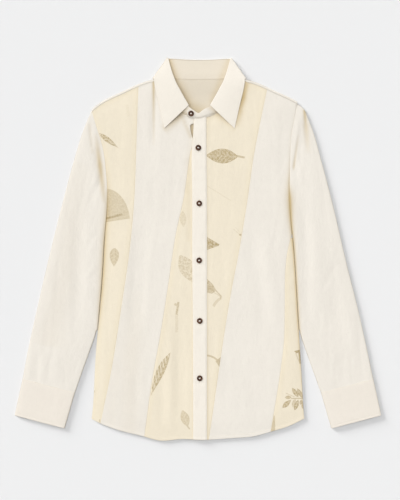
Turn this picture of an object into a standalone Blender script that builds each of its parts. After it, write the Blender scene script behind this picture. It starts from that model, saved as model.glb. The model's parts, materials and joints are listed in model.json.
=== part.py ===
"""A long-sleeved cotton shirt, buttoned to the neck and laid flat on its back.

X runs to the wearer's left, Y to the collar and Z up from the surface that the shirt lies on.
Left and right are the wearer's. The sizes and tables below are in millimetres, and the
objects are built in metres. Each piece of cloth is a grid of points with a Solidify wall.
"""

import math

import bpy
import numpy as np

MM = 0.001

# Cloth and seams
WALL = 1.2  # shirting with its seam turnings
PLACKET_WALL = 1.6  # the placket is folded double
CUFF_WALL = 1.5
GAP = 0.3  # between pieces that are sewn together
SEAM_HALF = 0.17  # half the gap between panels, measured across slanting borders
SHOULDER_GAP = 0.6  # along the shoulder seams, which curve
ARMHOLE_GAP = 0.5  # between the curved edges of body and sleeve
SIDE_CREASE = 1.0  # between the body and a sleeve that lies against it

# Body
YOKE_SEAM_Y = 208.0
FRONT_LOFT = 2.0  # how far the front floats above the back between its edges
SEAM_LOFT = 1.0  # the same along the shoulders, neckline and armholes
SIDE_ROUND = 30.0  # width of the rounding along the side seams
HEM_ROUND = 40.0
BACK_INSET = 1.5  # the back's edges stay this far inside the front's
RIGHT_CENTRE_TOP = 214.0  # where the right front's centre panel runs out at its free edge
LEFT_SIDE_TOP = 24.0  # where the left front's side panel runs out at the side seam
BAND_STRAIGHT_Y = 150.0
PLACKET_X = 3.0
PLACKET_HOLD = 16.0  # the placket keeps the folds this far from its middle
BAND_TUCK = 4.0  # how far the fronts run on under the placket
BAND_CLEAR = 0.8  # between the right front's edge and the band
SHOULDER_LIP = 3.0  # the yoke comes over the shoulder to the seam on the front
SHOULDER_BEND = 1.25

# Collar
NECK_X = 3.0
NECK_HALF = 87.0  # from the middle of the neck to where the shoulder seams begin
NECK_SEAM_TUCK = 2.0
ROLL_BEND = 0.75  # mid-wall radius of the collar's roll
SIDE_BEND = (3.6, 2.4)  # of the fold at the neck's side, at the free edge and at the roll
STAND_SIDE_BEND = 1.25
FALL_FLOOR = 0.6  # mid-wall height of the fall under the back of the neck

# Sleeves and cuffs
SLEEVE_EDGE = 2.8  # its thickness along the two creased edges
CUFF_LOFT = 5.2
CUFF_EDGE = 3.4
PART_Y = -170.0  # the sleeves leave the body here
SECTION_POINTS = 15  # across the top of a sleeve's section
SECTION_POWER = 5.0  # how square the flattened sections are

# Buttons
BUTTON_RADIUS = 6.0
BUTTON_RISE = 2.4
BUTTON_SIDES = 14

COTTON_WHITE = (0.871, 0.831, 0.759)
COTTON_CREAM = (0.913, 0.839, 0.672)
COTTON_COLLAR = (0.947, 0.896, 0.807)
BUTTON_BROWN = (0.061, 0.019, 0.010)


def table(columns, *rows):
    """Named columns, each an array with one value for each row."""
    return dict(zip(columns.split(), np.array(rows, float).T))


# Outlines of the body
RIGHT_EDGE = table(
    "y x",
    (-420, -233.0),
    (-355, -223.0),
    (-214, -214.0),
    (-127, -206.0),
    (-63, -200.5),
    (24, -195.5),
    (93, -190.5),
    (131, -190.7),
    (163, -193.2),
    (195, -196.5),
    (222, -202.0),
    (250, -211.0),
    (292, -223.5),
)
LEFT_EDGE = table(
    "y x",
    (-420, 233.0),
    (-355, 223.0),
    (-277, 218.0),
    (-127, 208.7),
    (7, 200.0),
    (59, 194.7),
    (104, 192.3),
    (182, 193.3),
    (217, 194.2),
    (244, 197.0),
    (269, 201.5),
    (304, 209.0),
)
HEM = table(
    "x y",
    (-233, -350.0),
    (-210, -362.4),
    (-178, -375.2),
    (-115, -391.8),
    (-82, -400.6),
    (-31, -397.6),
    (4, -399.3),
    (75, -395.5),
    (116, -392.2),
    (153, -382.1),
    (187, -371.8),
    (233, -350.0),
)
SHOULDER = table(
    "out y",
    (80, 361.0),
    (90, 361.0),
    (95, 358.2),
    (99, 355.8),
    (108, 353.4),
    (118, 350.3),
    (160, 331.5),
    (205, 309.5),
    (217, 301.0),
    (227, 291.5),
)
NECKLINE = table(
    "out y",
    (0, 276.5),
    (20, 279.0),
    (34, 285.5),
    (53, 300.5),
    (72, 323.5),
    (84, 345.0),
    (89, 355.9),
)

# Borders between the panels of the fronts
RIGHT_SIDE_BORDER = table(
    "y x",
    (-420, -214.5),
    (-375, -206.5),
    (-255, -182.0),
    (-127, -161.5),
    (15, -141.5),
    (115, -133.0),
    (195, -130.0),
    (259, -128.0),
    (350, -124.5),
)
RIGHT_CENTRE_BORDER = table(
    "y x",
    (-420, -116.5),
    (-377, -110.5),
    (-270, -95.5),
    (-189, -80.6),
    (-80, -63.2),
    (34, -46.0),
    (116, -28.5),
    (179, -19.7),
    (235, -10.5),
)
LEFT_CENTRE_BORDER = table(
    "y x",
    (-420, 19.5),
    (-352, 29.6),
    (-247, 44.7),
    (-115, 65.0),
    (24, 91.0),
    (112, 105.0),
    (199, 117.5),
    (262, 129.5),
    (350, 148.0),
)
LEFT_SIDE_BORDER = table(
    "y x",
    (-420, 146.0),
    (-348, 158.0),
    (-273, 170.3),
    (-189, 180.6),
    (-127, 182.0),
    (-42, 183.5),
    (-11, 186.5),
    (20, 193.5),
    (60, 206.0),
)
PLACKET = table(
    "y left right",
    (-420, -10.4, 19.3),
    (-180, -10.9, 19.3),
    (0, -12.4, 19.3),
    (125, -12.4, 18.9),
    (205, -13.2, 18.2),
    (240, -10.6, 18.0),
    (290, -7.6, 18.0),
)
# The right front stands back from the placket for a short way under the collar
RIGHT_FRONT_EDGE = table(
    "y x",
    (-420, -6.4),
    (190, -8.6),
    (228, -9.6),
    (236, -12.4),
    (260, -16.6),
    (266, -15.4),
    (290, -12.0),
)

# Folds: a soft ridge, or a trough where the rise is negative, from one end to the other
FRONT_FOLDS = table(
    "x1 y1 x2 y2 width rise",
    (-115, 95, -133, -200, 26, -1.5),
    (-150, 90, -163, -190, 24, 1.1),
    (-38, -120, -38, -400, 20, -1.4),
    (-58, -140, -58, -400, 17, 0.9),
    (-76, -230, -73, -385, 16, -1.2),
    (106, 60, 148, -200, 26, -1.6),
    (132, 60, 172, -180, 22, 1.1),
    (-93, 340, -93, 205, 12, -1.2),
    (-150, 318, -140, 190, 20, 0.7),
    (160, 318, 150, 180, 22, 0.7),
    (185, 270, 176, 120, 16, -0.9),
    (-172, 250, -168, 110, 18, -0.8),
)
RIGHT_SLEEVE_FOLDS = table(
    "x1 y1 x2 y2 width rise",
    (-250, 120, -254, -190, 20, -1.6),
    (-226, 60, -226, -130, 18, 0.8),
    (-212, 225, -201, 115, 14, -1.2),
    (-246, -40, -208, -84, 12, -0.9),
    (-292, 40, -318, -180, 22, 0.6),
    (-335, -205, -340, -290, 12, -0.9),
)
LEFT_SLEEVE_FOLDS = table(
    "x1 y1 x2 y2 width rise",
    (222, 150, 229, -190, 18, -1.6),
    (250, 90, 253, -180, 20, 0.8),
    (287, 0, 291, -190, 20, -1.2),
    (224, 288, 201, 140, 13, -1.2),
    (318, -90, 330, -230, 20, 0.6),
    (300, -215, 306, -290, 12, -0.9),
)

# Sections of the collar from the front edge of a leaf to the fold at the neck's side: the free
# edge, the roll and the bottom edge of the stand, each at the middle of its wall
COLLAR_FRONT = table(
    "free_out free_y free_z roll_out roll_y roll_z seam_out seam_y seam_z",
    (73.8, 253.5, 6.6, 23.0, 300.6, 12.5, 34.0, 283.0, 4.9),
    (83.6, 298.3, 6.8, 41.0, 332.7, 13.0, 55.0, 298.5, 4.9),
    (92.6, 336.0, 7.3, 53.2, 357.4, 11.4, 74.0, 321.0, 5.5),
    (95.0, 351.0, 7.8, 60.5, 379.0, 8.8, 82.0, 344.0, 6.3),
)
COLLAR_BACK = table(
    "free_out free_y roll_out roll_y seam_out seam_y seam_z",
    (78.0, 349.5, 51.0, 398.8, 74.0, 359.0, 3.7),
    (40.0, 347.0, 27.0, 397.2, 38.0, 357.2, 3.7),
    (0.0, 347.0, 0.0, 396.6, 0.0, 356.9, 3.7),
)
SIDE_FREE = (98.3, 358.6)  # the outermost line of the fold at the neck's side
SIDE_ROLL = (68.2, 401.2)
SIDE_SEAM = (87.0, 364.5)
# Ends of the stand at the front: top edge and bottom edge
RIGHT_STAND_END = table(
    "top_x top_y top_z seam_x seam_y seam_z",
    (-9.5, 291.5, 7.4, -9.5, 277.6, 5.0),
    (-15.0, 295.4, 8.9, -16.5, 278.6, 4.9),
)
LEFT_STAND_END = table(
    "top_x top_y top_z seam_x seam_y seam_z",
    (19.0, 296.8, 10.3, 23.0, 278.6, 6.4),
    (9.0, 291.0, 9.4, 10.0, 275.2, 6.6),
    (1.0, 285.4, 8.9, 1.5, 274.0, 6.6),
    (-7.5, 290.2, 9.9, -7.5, 274.2, 6.6),
    (-14.0, 294.2, 11.0, -14.0, 274.9, 6.7),
    (-18.6, 294.6, 11.4, -19.0, 277.2, 7.3),
    (-22.0, 291.6, 11.2, -22.6, 281.4, 8.6),
    (-23.6, 288.2, 10.6, -24.0, 285.6, 9.8),
)

# A sleeve's two creased edges, from the armhole to the cuff, with the height of its top
RIGHT_SLEEVE = table(
    "t outer_out outer_y inner_out inner_y top",
    (0.00, 224.0, 291.6, 191.2, 93.0, 3.8),
    (0.12, 240.0, 252.5, 193.4, 60.0, 4.6),
    (0.30, 259.5, 188.0, 197.6, 8.0, 4.9),
    (0.50, 285.2, 92.0, 202.8, -62.0, 4.9),
    (0.70, 317.4, -38.0, 209.4, -135.0, 4.9),
    (0.82, 337.6, -126.0, 216.0, -180.0, 4.9),
    (0.92, 355.2, -206.0, 237.4, -241.0, 4.9),
    (1.00, 367.7, -271.35, 258.1, -299.35, 4.7),
)
LEFT_SLEEVE = table(
    "t outer_out outer_y inner_out inner_y top",
    (0.00, 209.4, 303.4, 192.9, 98.0, 3.8),
    (0.05, 222.6, 294.6, 193.2, 82.0, 4.3),
    (0.12, 236.6, 262.0, 194.4, 60.0, 4.6),
    (0.30, 258.2, 188.0, 200.0, 8.0, 4.9),
    (0.50, 283.4, 92.0, 204.6, -62.0, 4.9),
    (0.70, 313.8, -38.0, 210.4, -135.0, 4.9),
    (0.82, 335.8, -126.0, 216.0, -180.0, 4.9),
    (0.92, 353.8, -206.0, 236.8, -241.0, 4.9),
    (1.00, 367.5, -271.4, 258.1, -299.35, 4.7),
)
CUFF = table(
    "outer_out outer_y inner_out inner_y",
    (367.8, -271.65, 258.2, -299.65),
    (384.4, -348.0, 280.0, -375.4),
)
CAP_FADE = 0.34  # the armhole's curve has left the sleeve's sections by this share of its length

BUTTONS = table(
    "x y",
    (0.6, 213.0),
    (2.5, 96.5),
    (2.5, -23.0),
    (3.6, -149.6),
    (3.6, -269.7),
)
COLLAR_BUTTON = (-14.5, 284.4, 10.6)
COLLAR_BUTTON_TILT = math.radians(13)


def curve(rows, key, value, at):
    """Cubic pieces through the table's points, with slopes taken from each point's neighbours."""
    knots, values = rows[key], rows[value]
    slopes = np.gradient(values, knots)
    i = np.clip(np.searchsorted(knots, at) - 1, 0, len(knots) - 2)
    span = knots[i + 1] - knots[i]
    t = np.clip((at - knots[i]) / span, 0, 1)
    start = (1 + 2 * t) * (1 - t) ** 2 * values[i] + t * (1 - t) ** 2 * span * slopes[i]
    end = t * t * (3 - 2 * t) * values[i + 1] + t * t * (t - 1) * span * slopes[i + 1]
    return start + end


def ease(t):
    """0 up to t = 0, 1 from t = 1, and smooth between."""
    t = np.clip(t, 0, 1)
    return t * t * (3 - 2 * t)


def fold_rise(folds, x, y):
    """Sum of the folds: each a rounded ridge across its line that dies away towards its ends."""
    total = np.zeros(np.shape(x))
    for x1, y1, x2, y2, width, rise in zip(*folds.values()):
        dx, dy = x2 - x1, y2 - y1
        length = math.hypot(dx, dy)
        along = ((x - x1) * dx + (y - y1) * dy) / length**2
        across = ((x - x1) * dy - (y - y1) * dx) / length
        profile = (1 - np.clip(across / width, -1, 1) ** 2) ** 2
        total += rise * profile * ease(np.minimum(along, 1 - along) / 0.3)
    return total


def right_edge(y):
    return curve(RIGHT_EDGE, "y", "x", y)


def left_edge(y):
    return curve(LEFT_EDGE, "y", "x", y)


def hem(x):
    return curve(HEM, "x", "y", x)


def front_top(x):
    """The upper edge of the fronts: the neckline, then the shoulder seam."""
    out = np.abs(x - NECK_X)
    neckline = curve(NECKLINE, "out", "y", out)
    seam_drop = SHOULDER_LIP + SHOULDER_BEND + WALL / 2 + SHOULDER_GAP
    seam = curve(SHOULDER, "out", "y", out) - seam_drop
    return np.where(out < NECKLINE["out"][-1], neckline, seam)


def neck_lift(x, y):
    """The back of the collar lies under the yoke and lifts it."""
    out = np.abs(x - NECK_X)
    return (WALL + GAP) * ease((y - 318) / 24) * ease((122 - out) / 20)


def front_height(x, y):
    """Underside of the fronts: on the back along the edges, lofted and folded between them."""
    inside = np.minimum(x - right_edge(y), left_edge(y) - x)
    edge = SEAM_LOFT * ease((y - 60) / 60)
    middle = FRONT_LOFT * (0.35 + 0.65 * ease((y - hem(x)) / HEM_ROUND))
    loft = edge + (middle - edge) * np.sin(np.pi / 2 * np.clip(inside / SIDE_ROUND, 0, 1))
    held = ease((np.abs(x - PLACKET_X) - PLACKET_HOLD) / 22) * ease(inside / 25)
    loft = loft + held * fold_rise(FRONT_FOLDS, x, y)
    loft = SEAM_LOFT + (loft - SEAM_LOFT) * ease((front_top(x) - y) / 30)
    return neck_lift(x, y) + WALL + GAP + np.maximum(loft, 0)


def panel_grid(left, right, top, bottom, columns, rows):
    """Plan of a panel: each column runs along a blend of its two borders, from edge to edge."""
    fine = np.linspace(-420, 380, 3201)
    grid = np.empty((rows + 1, columns + 1, 2))
    for column, share in enumerate(np.linspace(0, 1, columns + 1)):
        x = (1 - share) * left(fine) + share * right(fine)
        above = fine - bottom(x)
        below = top(x) - fine
        first = np.argmax((above >= 0) & (below >= 0))
        last = first + np.argmax((below < 0)[first:])
        low = np.interp(0, above[first - 1 : first + 1], fine[first - 1 : first + 1])
        high = np.interp(0, -below[last - 1 : last + 1], fine[last - 1 : last + 1])
        y = np.linspace(low, high, rows + 1)
        grid[:, column, 0] = (1 - share) * left(y) + share * right(y)
        grid[:, column, 1] = y
    return grid


def cloth(name, grid, material, wall, offset, around=False):
    """A grid of points in millimetres, [row, column, xyz], given its wall by Solidify.

    With around, the columns close into a tube. The offset is 1 to put the wall above the grid,
    0 to centre it there and -1 to put it inside.
    """
    rows, columns = grid.shape[:2]
    points = [tuple(point) for point in (grid * MM).reshape(-1, 3)]
    faces = []
    for row in range(rows - 1):
        for column in range(columns if around else columns - 1):
            after = (column + 1) % columns
            here, up = row * columns, (row + 1) * columns
            faces.append((here + column, here + after, up + after, up + column))
    mesh = bpy.data.meshes.new(name)
    mesh.from_pydata(points, [], faces)
    mesh.shade_smooth()
    mesh.set_sharp_from_angle(angle=math.radians(50))
    mesh.materials.append(material)
    piece = bpy.data.objects.new(name, mesh)
    bpy.context.collection.objects.link(piece)
    solid = piece.modifiers.new("Wall", "SOLIDIFY")
    solid.thickness = wall * MM
    solid.offset = offset
    return piece


def flat_panel(name, grid, height, material, wall=WALL):
    """A panel whose underside follows height(x, y)."""
    x, y = grid[..., 0], grid[..., 1]
    return cloth(name, np.dstack([x, y, height(x, y)]), material, wall, offset=1)


def border(rows, value="x", shift=0.0):
    """A border as a function x(y), moved sideways by the shift."""
    return lambda y: curve(rows, "y", value, y) + shift


def nearer(first, second):
    """The one of two borders with the smaller x at each y."""
    return lambda y: np.minimum(first(y), second(y))


def level(y):
    """A straight top edge, a seam's gap below y."""
    return lambda x: np.full(np.shape(x), y - GAP)


def build_fronts(white, cream, band):
    """Three panels on each side, joined by slanting seams, with the band under the placket."""
    half = SEAM_HALF

    def add(name, material, left, right, top, columns, rows):
        grid = panel_grid(left, right, top, hem, columns, rows)
        flat_panel(name, grid, front_height, material)

    end = border(RIGHT_SIDE_BORDER, shift=-half)
    add("right_front_side", cream, right_edge, end, front_top, 5, 32)

    start = border(RIGHT_SIDE_BORDER, shift=half)
    seam = border(RIGHT_CENTRE_BORDER, shift=-half)
    free = border(RIGHT_FRONT_EDGE, shift=half)
    add("right_front_middle", white, start, nearer(seam, free), front_top, 9, 33)

    start = border(RIGHT_CENTRE_BORDER, shift=half)
    end = border(RIGHT_FRONT_EDGE, shift=-half)
    add("right_front_centre", cream, start, end, level(RIGHT_CENTRE_TOP), 5, 28)

    start = border(PLACKET, "right", half - BAND_TUCK)
    end = border(LEFT_CENTRE_BORDER, shift=-half)
    add("left_front_centre", cream, start, end, front_top, 7, 33)

    start = border(LEFT_CENTRE_BORDER, shift=half)
    seam = border(LEFT_SIDE_BORDER, shift=-half)
    add("left_front_middle", white, start, nearer(seam, left_edge), front_top, 8, 33)

    start = border(LEFT_SIDE_BORDER, shift=half)
    add("left_front_side", cream, start, left_edge, level(LEFT_SIDE_TOP), 3, 20)

    # The band keeps to the right front's edge as it is below the collar
    front_edge = border(RIGHT_FRONT_EDGE, shift=BAND_CLEAR)
    start = lambda y: front_edge(np.minimum(y, BAND_STRAIGHT_Y))
    end = border(PLACKET, "right", -BAND_TUCK - GAP)
    add("button_band", band, start, end, front_top, 2, 28)

    grid = panel_grid(border(PLACKET, "left"), border(PLACKET, "right"), front_top, hem, 3, 33)
    on_front = lambda x, y: front_height(x, y) + WALL + GAP
    flat_panel("placket", grid, on_front, band, PLACKET_WALL)


def build_back(white):
    """The back lies flat, a little inside the fronts, up to the yoke."""
    left = border(RIGHT_EDGE, shift=BACK_INSET)
    right = border(LEFT_EDGE, shift=-BACK_INSET)
    bottom = lambda x: hem(x) + BACK_INSET
    grid = panel_grid(left, right, level(YOKE_SEAM_Y), bottom, 10, 13)
    flat_panel("back", grid, lambda x, y: np.zeros(np.shape(x)), white)


def build_yoke(white):
    """The yoke runs up the back and folds over each shoulder to the seam on the front."""
    outs = [0, 35, 70, 87, 90, 93, 96, 99, 103, 108, 120, 135, 152, 170, 188, 203, 211, 219]
    outs = np.array(outs)
    right_x, left_x = RIGHT_EDGE["x"][-1] + 2 * GAP, LEFT_EDGE["x"][-1] - 2 * GAP
    across = np.concatenate([-outs[:0:-1], outs]) + NECK_X
    across = across[(across > right_x + 2) & (across < left_x - 2)]
    across = np.concatenate([[right_x], across, [left_x]])
    out = np.abs(across - NECK_X)
    turn = ease((out - NECK_HALF) / 6)
    folded_top = curve(SHOULDER, "out", "y", out) - SHOULDER_BEND - WALL / 2
    strip = math.pi * SHOULDER_BEND + SHOULDER_LIP
    neck_top = COLLAR_BACK["seam_y"][-1] + NECK_SEAM_TUCK - strip
    top = neck_top + (folded_top - neck_top) * turn

    # Up the back, narrowing with the armholes
    share = (across - right_x) / (left_x - right_x)
    columns = []
    for row in np.linspace(0, 1, 6):
        y = YOKE_SEAM_Y + (top - YOKE_SEAM_Y) * row
        edge_right = right_edge(y) + 2 * GAP
        edge_left = left_edge(y) - 2 * GAP
        x = edge_right + (edge_left - edge_right) * share
        columns.append(np.stack([x, y, neck_lift(x, y) + WALL / 2], axis=-1))

    # Over the shoulder: a half circle and the lip, unrolled flat at the neck
    bend_steps = 5
    steps = [math.pi * SHOULDER_BEND / bend_steps] * bend_steps + [SHOULDER_LIP]
    middles = [(k + 0.5) / bend_steps for k in range(bend_steps)] + [1.0]
    shortened = 1 - 0.65 * np.sin(math.pi * turn)
    last = columns[-1].copy()
    for step, middle in zip(steps, middles):
        angle = math.pi * turn * middle
        run, rise = shortened * step * np.cos(angle), shortened * step * np.sin(angle)
        last = last + np.stack([0 * out, run, rise], axis=-1)
        columns.append(last)
    cloth("yoke", np.array(columns), white, WALL, offset=0)


def unit(vectors):
    return vectors / np.linalg.norm(vectors, axis=-1, keepdims=True)


def collar_half():
    """Sections of half the collar, from a leaf's front edge to the middle of the back.

    Each has the fall's free edge, its roll, the outward normal at the roll, and the bottom
    edge of the stand, as (out, y, z).
    """
    free, roll, normal, seam = [], [], [], []
    bend_free, bend_roll = SIDE_BEND
    side_free, side_roll = np.array(SIDE_FREE), np.array(SIDE_ROLL)
    side_seam = np.array(SIDE_SEAM)
    along = unit(side_roll - side_free)
    inward = np.array([-along[1], along[0]])

    def side_fold(line, bend, low, angle, extra=WALL / 2):
        """Point of a fold about a line: from the top at angle 0 to the bottom at pi."""
        plan = line + inward * (extra + bend * (1 - math.sin(angle)))
        return np.array([*plan, low + bend * (1 + math.cos(angle))])

    # The leaf, easing into the start of the side fold
    start = (
        *side_fold(side_free, bend_free, FALL_FLOOR, 0),
        *side_fold(side_roll, bend_roll, FALL_FLOOR, 0),
        *side_fold(side_seam, STAND_SIDE_BEND, COLLAR_BACK["seam_z"][0], 0),
    )
    names = list(COLLAR_FRONT)
    leaf = {n: np.append(COLLAR_FRONT[n], start[k]) for k, n in enumerate(names)}
    leaf["t"] = np.array([0, 0.36, 0.7, 0.87, 1.0])
    for t in (0, 0.12, 0.24, 0.36, 0.48, 0.6, 0.7, 0.79, 0.87, 0.94):
        row = [float(curve(leaf, "t", n, t)) for n in names]
        free.append(row[0:3])
        roll.append(row[3:6])
        seam.append(row[6:9])
        normal.append([0, 0, 1])

    # Round the neck's side
    for angle in np.linspace(0, math.pi, 8):
        free.append(side_fold(side_free, bend_free, FALL_FLOOR, angle))
        roll.append(side_fold(side_roll, bend_roll, FALL_FLOOR, angle))
        seam.append(side_fold(side_seam, STAND_SIDE_BEND, COLLAR_BACK["seam_z"][0], angle))
        normal.append([*(-inward * math.sin(angle)), math.cos(angle)])

    # Along the back, the fall flat on the floor and the stand on it
    back = {n: np.append(v, 0) for n, v in COLLAR_BACK.items()}
    back["free_out"][-1], back["free_y"][-1] = free[-1][:2]
    back["roll_out"][-1], back["roll_y"][-1] = roll[-1][:2]
    back["seam_out"][-1], back["seam_y"][-1], back["seam_z"][-1] = seam[-1]
    back = {n: np.append(v[-1], v[:-1]) for n, v in back.items()}
    back["t"] = np.array([0.0, 1.0, 2.0, 3.0])
    for t in (0.5, 1.0, 1.5, 2.0, 2.5, 3.0):
        at = {n: float(curve(back, "t", n, t)) for n in COLLAR_BACK}
        free.append([at["free_out"], at["free_y"], FALL_FLOOR])
        roll.append([at["roll_out"], at["roll_y"], FALL_FLOOR])
        seam.append([at["seam_out"], at["seam_y"], at["seam_z"]])
        normal.append([0, 0, -1])
    return [np.array(part, float) for part in (free, roll, normal, seam)]


def mirrored(half):
    """The right half in front, then the left half back to its leaf, from (out, y, z)."""
    right = half.copy()
    right[:, 0] = NECK_X - half[:, 0]
    left = half[:-1][::-1].copy()
    left[:, 0] = NECK_X + left[:, 0]
    return np.concatenate([right, left])


def build_collar(material):
    """The fall with its two leaves, and the stand inside it with the buttoned tab."""
    free, roll, normal, seam = collar_half()
    free, roll, seam = mirrored(free), mirrored(roll), mirrored(seam)
    normal = np.concatenate([normal * (-1, 1, 1), normal[:-1][::-1]])
    toward = unit((roll - free) * (1, 1, 0))

    # The fall: flat from its free edge, rounding up to the roll and turned under there
    columns = []
    for v in np.linspace(0, 1, 6):
        point = free + (roll - free) * v
        point[:, 2] = free[:, 2] + (roll[:, 2] - free[:, 2]) * math.sin(math.pi / 2 * v)
        columns.append(point)
    for angle in np.linspace(0, math.pi, 5)[1:]:
        bend = toward * math.sin(angle) - normal * (1 - math.cos(angle))
        columns.append(roll + ROLL_BEND * bend)
    grid = np.array(columns).transpose(1, 0, 2)
    cloth("collar_fall", grid[::-1], material, WALL, offset=0)

    # The stand: from the roll down to the neck seam, with its two ends at the front
    top = roll - 2 * ROLL_BEND * normal - GAP * toward
    right_end = np.array([*RIGHT_STAND_END.values()]).T
    left_end = np.array([*LEFT_STAND_END.values()]).T
    top = np.concatenate([right_end[:, :3], top, left_end[:, :3]])
    bottom = np.concatenate([right_end[:, 3:], seam, left_end[:, 3:]])
    columns = []
    for w in np.linspace(0, 1, 5):
        point = top + (bottom - top) * w
        point[:, 2] = top[:, 2] + (bottom[:, 2] - top[:, 2]) * w**1.6
        columns.append(point)
    cloth("collar_stand", np.array(columns).transpose(1, 0, 2), material, WALL, offset=0)


def flat_section(across, top, edge):
    """Heights of a flattened tube's outside, above and below, for across from -1 to 1."""
    round_off = (1 - np.abs(across) ** SECTION_POWER) ** (1 / SECTION_POWER)
    return edge / 2 + (top - edge / 2) * round_off, edge / 2 * (1 - round_off)


def tube_ring(outer, inner, across, top, edge, bow, folds):
    """One flattened section from its outer crease to its inner one and back underneath."""
    middle, reach = (outer + inner) / 2, (inner - outer) / 2
    plan = middle + reach * across[:, None] + bow
    above, below = flat_section(across, top, edge)
    if folds:
        above += (1 - np.abs(across) ** 6) * fold_rise(folds, plan[:, 0], plan[:, 1])
    upper = np.column_stack([plan, above])
    lower = np.column_stack([plan, below])
    return np.concatenate([upper, lower[-2:0:-1]])


def creased_edges(side, rows, t):
    """The two ends of a section, kept just clear of the body where the sleeve lies against it."""
    row = {name: float(curve(rows, "t", name, t)) for name in rows}
    outer = np.array([side * row["outer_out"], row["outer_y"]])
    inner = np.array([side * row["inner_out"], row["inner_y"]])
    if t > 0 and inner[1] > PART_Y:
        body = right_edge(inner[1]) if side < 0 else left_edge(inner[1])
        inner[0] = body + side * SIDE_CREASE
    return outer, inner, row["top"]


def build_sleeve(side, rows, folds, white):
    """A flattened tube whose first section follows the armhole and whose last meets the cuff."""
    across = np.sin(np.linspace(-math.pi / 2, math.pi / 2, SECTION_POINTS))
    outer, inner, _ = creased_edges(side, rows, 0)
    chord = outer + (inner - outer) * (across[:, None] + 1) / 2
    armhole = right_edge(chord[:, 1]) if side < 0 else left_edge(chord[:, 1])
    bow = np.zeros_like(chord)
    bow[:, 0] = armhole + side * ARMHOLE_GAP - chord[:, 0]
    rings = []
    for t in np.concatenate([np.linspace(0, 0.3, 6), np.linspace(0.3, 1, 12)[1:]]):
        outer, inner, top = creased_edges(side, rows, t)
        straight = 1 - ease(t / CAP_FADE)
        rings.append(tube_ring(outer, inner, across, top, SLEEVE_EDGE, bow * straight, folds))
    add_tube("left_sleeve" if side > 0 else "right_sleeve", rings, side, white, WALL)


def build_cuff(side, material):
    """A straight flattened tube, a little thicker than the sleeve that it closes."""
    across = np.sin(np.linspace(-math.pi / 2, math.pi / 2, SECTION_POINTS))
    rings = []
    for t in np.linspace(0, 1, 4):
        at = {name: ends[0] + (ends[1] - ends[0]) * t for name, ends in CUFF.items()}
        outer = np.array([side * at["outer_out"], at["outer_y"]])
        inner = np.array([side * at["inner_out"], at["inner_y"]])
        rings.append(tube_ring(outer, inner, across, CUFF_LOFT, CUFF_EDGE, 0, None))
    add_tube("left_cuff" if side > 0 else "right_cuff", rings, side, material, CUFF_WALL)


def add_tube(name, rings, side, material, wall):
    """Joins sections into a tube; on the right side they run the other way round."""
    grid = np.array(rings)
    cloth(name, grid if side > 0 else grid[:, ::-1], material, wall, -1, around=True)


def button_mesh(material):
    """A turned button: flat below, with a raised rim round a shallow dish."""
    r, h = BUTTON_RADIUS, BUTTON_RISE
    profile = (
        (0.80 * r, 0),
        (0.97 * r, 0.28 * h),
        (1.00 * r, 0.62 * h),
        (0.90 * r, 1.00 * h),
        (0.74 * r, 0.94 * h),
        (0.56 * r, 0.62 * h),
    )
    points = []
    for radius, z in profile:
        for k in range(BUTTON_SIDES):
            angle = 2 * math.pi * k / BUTTON_SIDES
            points.append((radius * math.cos(angle) * MM, radius * math.sin(angle) * MM, z * MM))
    faces = [tuple(range(BUTTON_SIDES))[::-1]]
    for ring in range(len(profile) - 1):
        for k in range(BUTTON_SIDES):
            after = (k + 1) % BUTTON_SIDES
            here, up = ring * BUTTON_SIDES, (ring + 1) * BUTTON_SIDES
            faces.append((here + k, here + after, up + after, up + k))
    last = (len(profile) - 1) * BUTTON_SIDES
    faces.append(tuple(range(last, last + BUTTON_SIDES)))
    mesh = bpy.data.meshes.new("button")
    mesh.from_pydata(points, [], faces)
    mesh.shade_smooth()
    mesh.set_sharp_from_angle(angle=math.radians(40))
    mesh.materials.append(material)
    return mesh


def build_buttons(material):
    """Five buttons down the placket, and one on the collar's tab."""
    mesh = button_mesh(material)
    for k, (x, y) in enumerate(zip(BUTTONS["x"], BUTTONS["y"])):
        z = float(front_height(x, y)) + WALL + GAP + PLACKET_WALL + GAP
        button = bpy.data.objects.new(f"button_{k + 1}", mesh)
        button.location = (x * MM, y * MM, z * MM)
        bpy.context.collection.objects.link(button)
    button = bpy.data.objects.new("button_collar", mesh)
    button.location = [value * MM for value in COLLAR_BUTTON]
    button.rotation_euler = (COLLAR_BUTTON_TILT, 0, 0)
    bpy.context.collection.objects.link(button)


def finish(name, colour, roughness):
    """A plain Principled material."""
    material = bpy.data.materials.new(name)
    material.use_nodes = True
    shader = material.node_tree.nodes["Principled BSDF"]
    shader.inputs["Base Color"].default_value = (*colour, 1)
    shader.inputs["Roughness"].default_value = roughness
    shader.inputs["Metallic"].default_value = 0
    return material


def main():
    for thing in list(bpy.data.objects):
        bpy.data.objects.remove(thing)
    white = finish("cotton_white", COTTON_WHITE, 0.9)
    cream = finish("cotton_cream", COTTON_CREAM, 0.9)
    collar = finish("cotton_collar", COTTON_COLLAR, 0.85)
    brown = finish("button_brown", BUTTON_BROWN, 0.35)
    build_back(white)
    build_yoke(white)
    build_fronts(white, cream, collar)
    build_collar(collar)
    build_sleeve(-1, RIGHT_SLEEVE, RIGHT_SLEEVE_FOLDS, white)
    build_sleeve(1, LEFT_SLEEVE, LEFT_SLEEVE_FOLDS, white)
    build_cuff(-1, collar)
    build_cuff(1, collar)
    build_buttons(brown)


main()
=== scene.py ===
import json
import math

import bpy
import numpy as np
from mathutils import Vector

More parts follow.
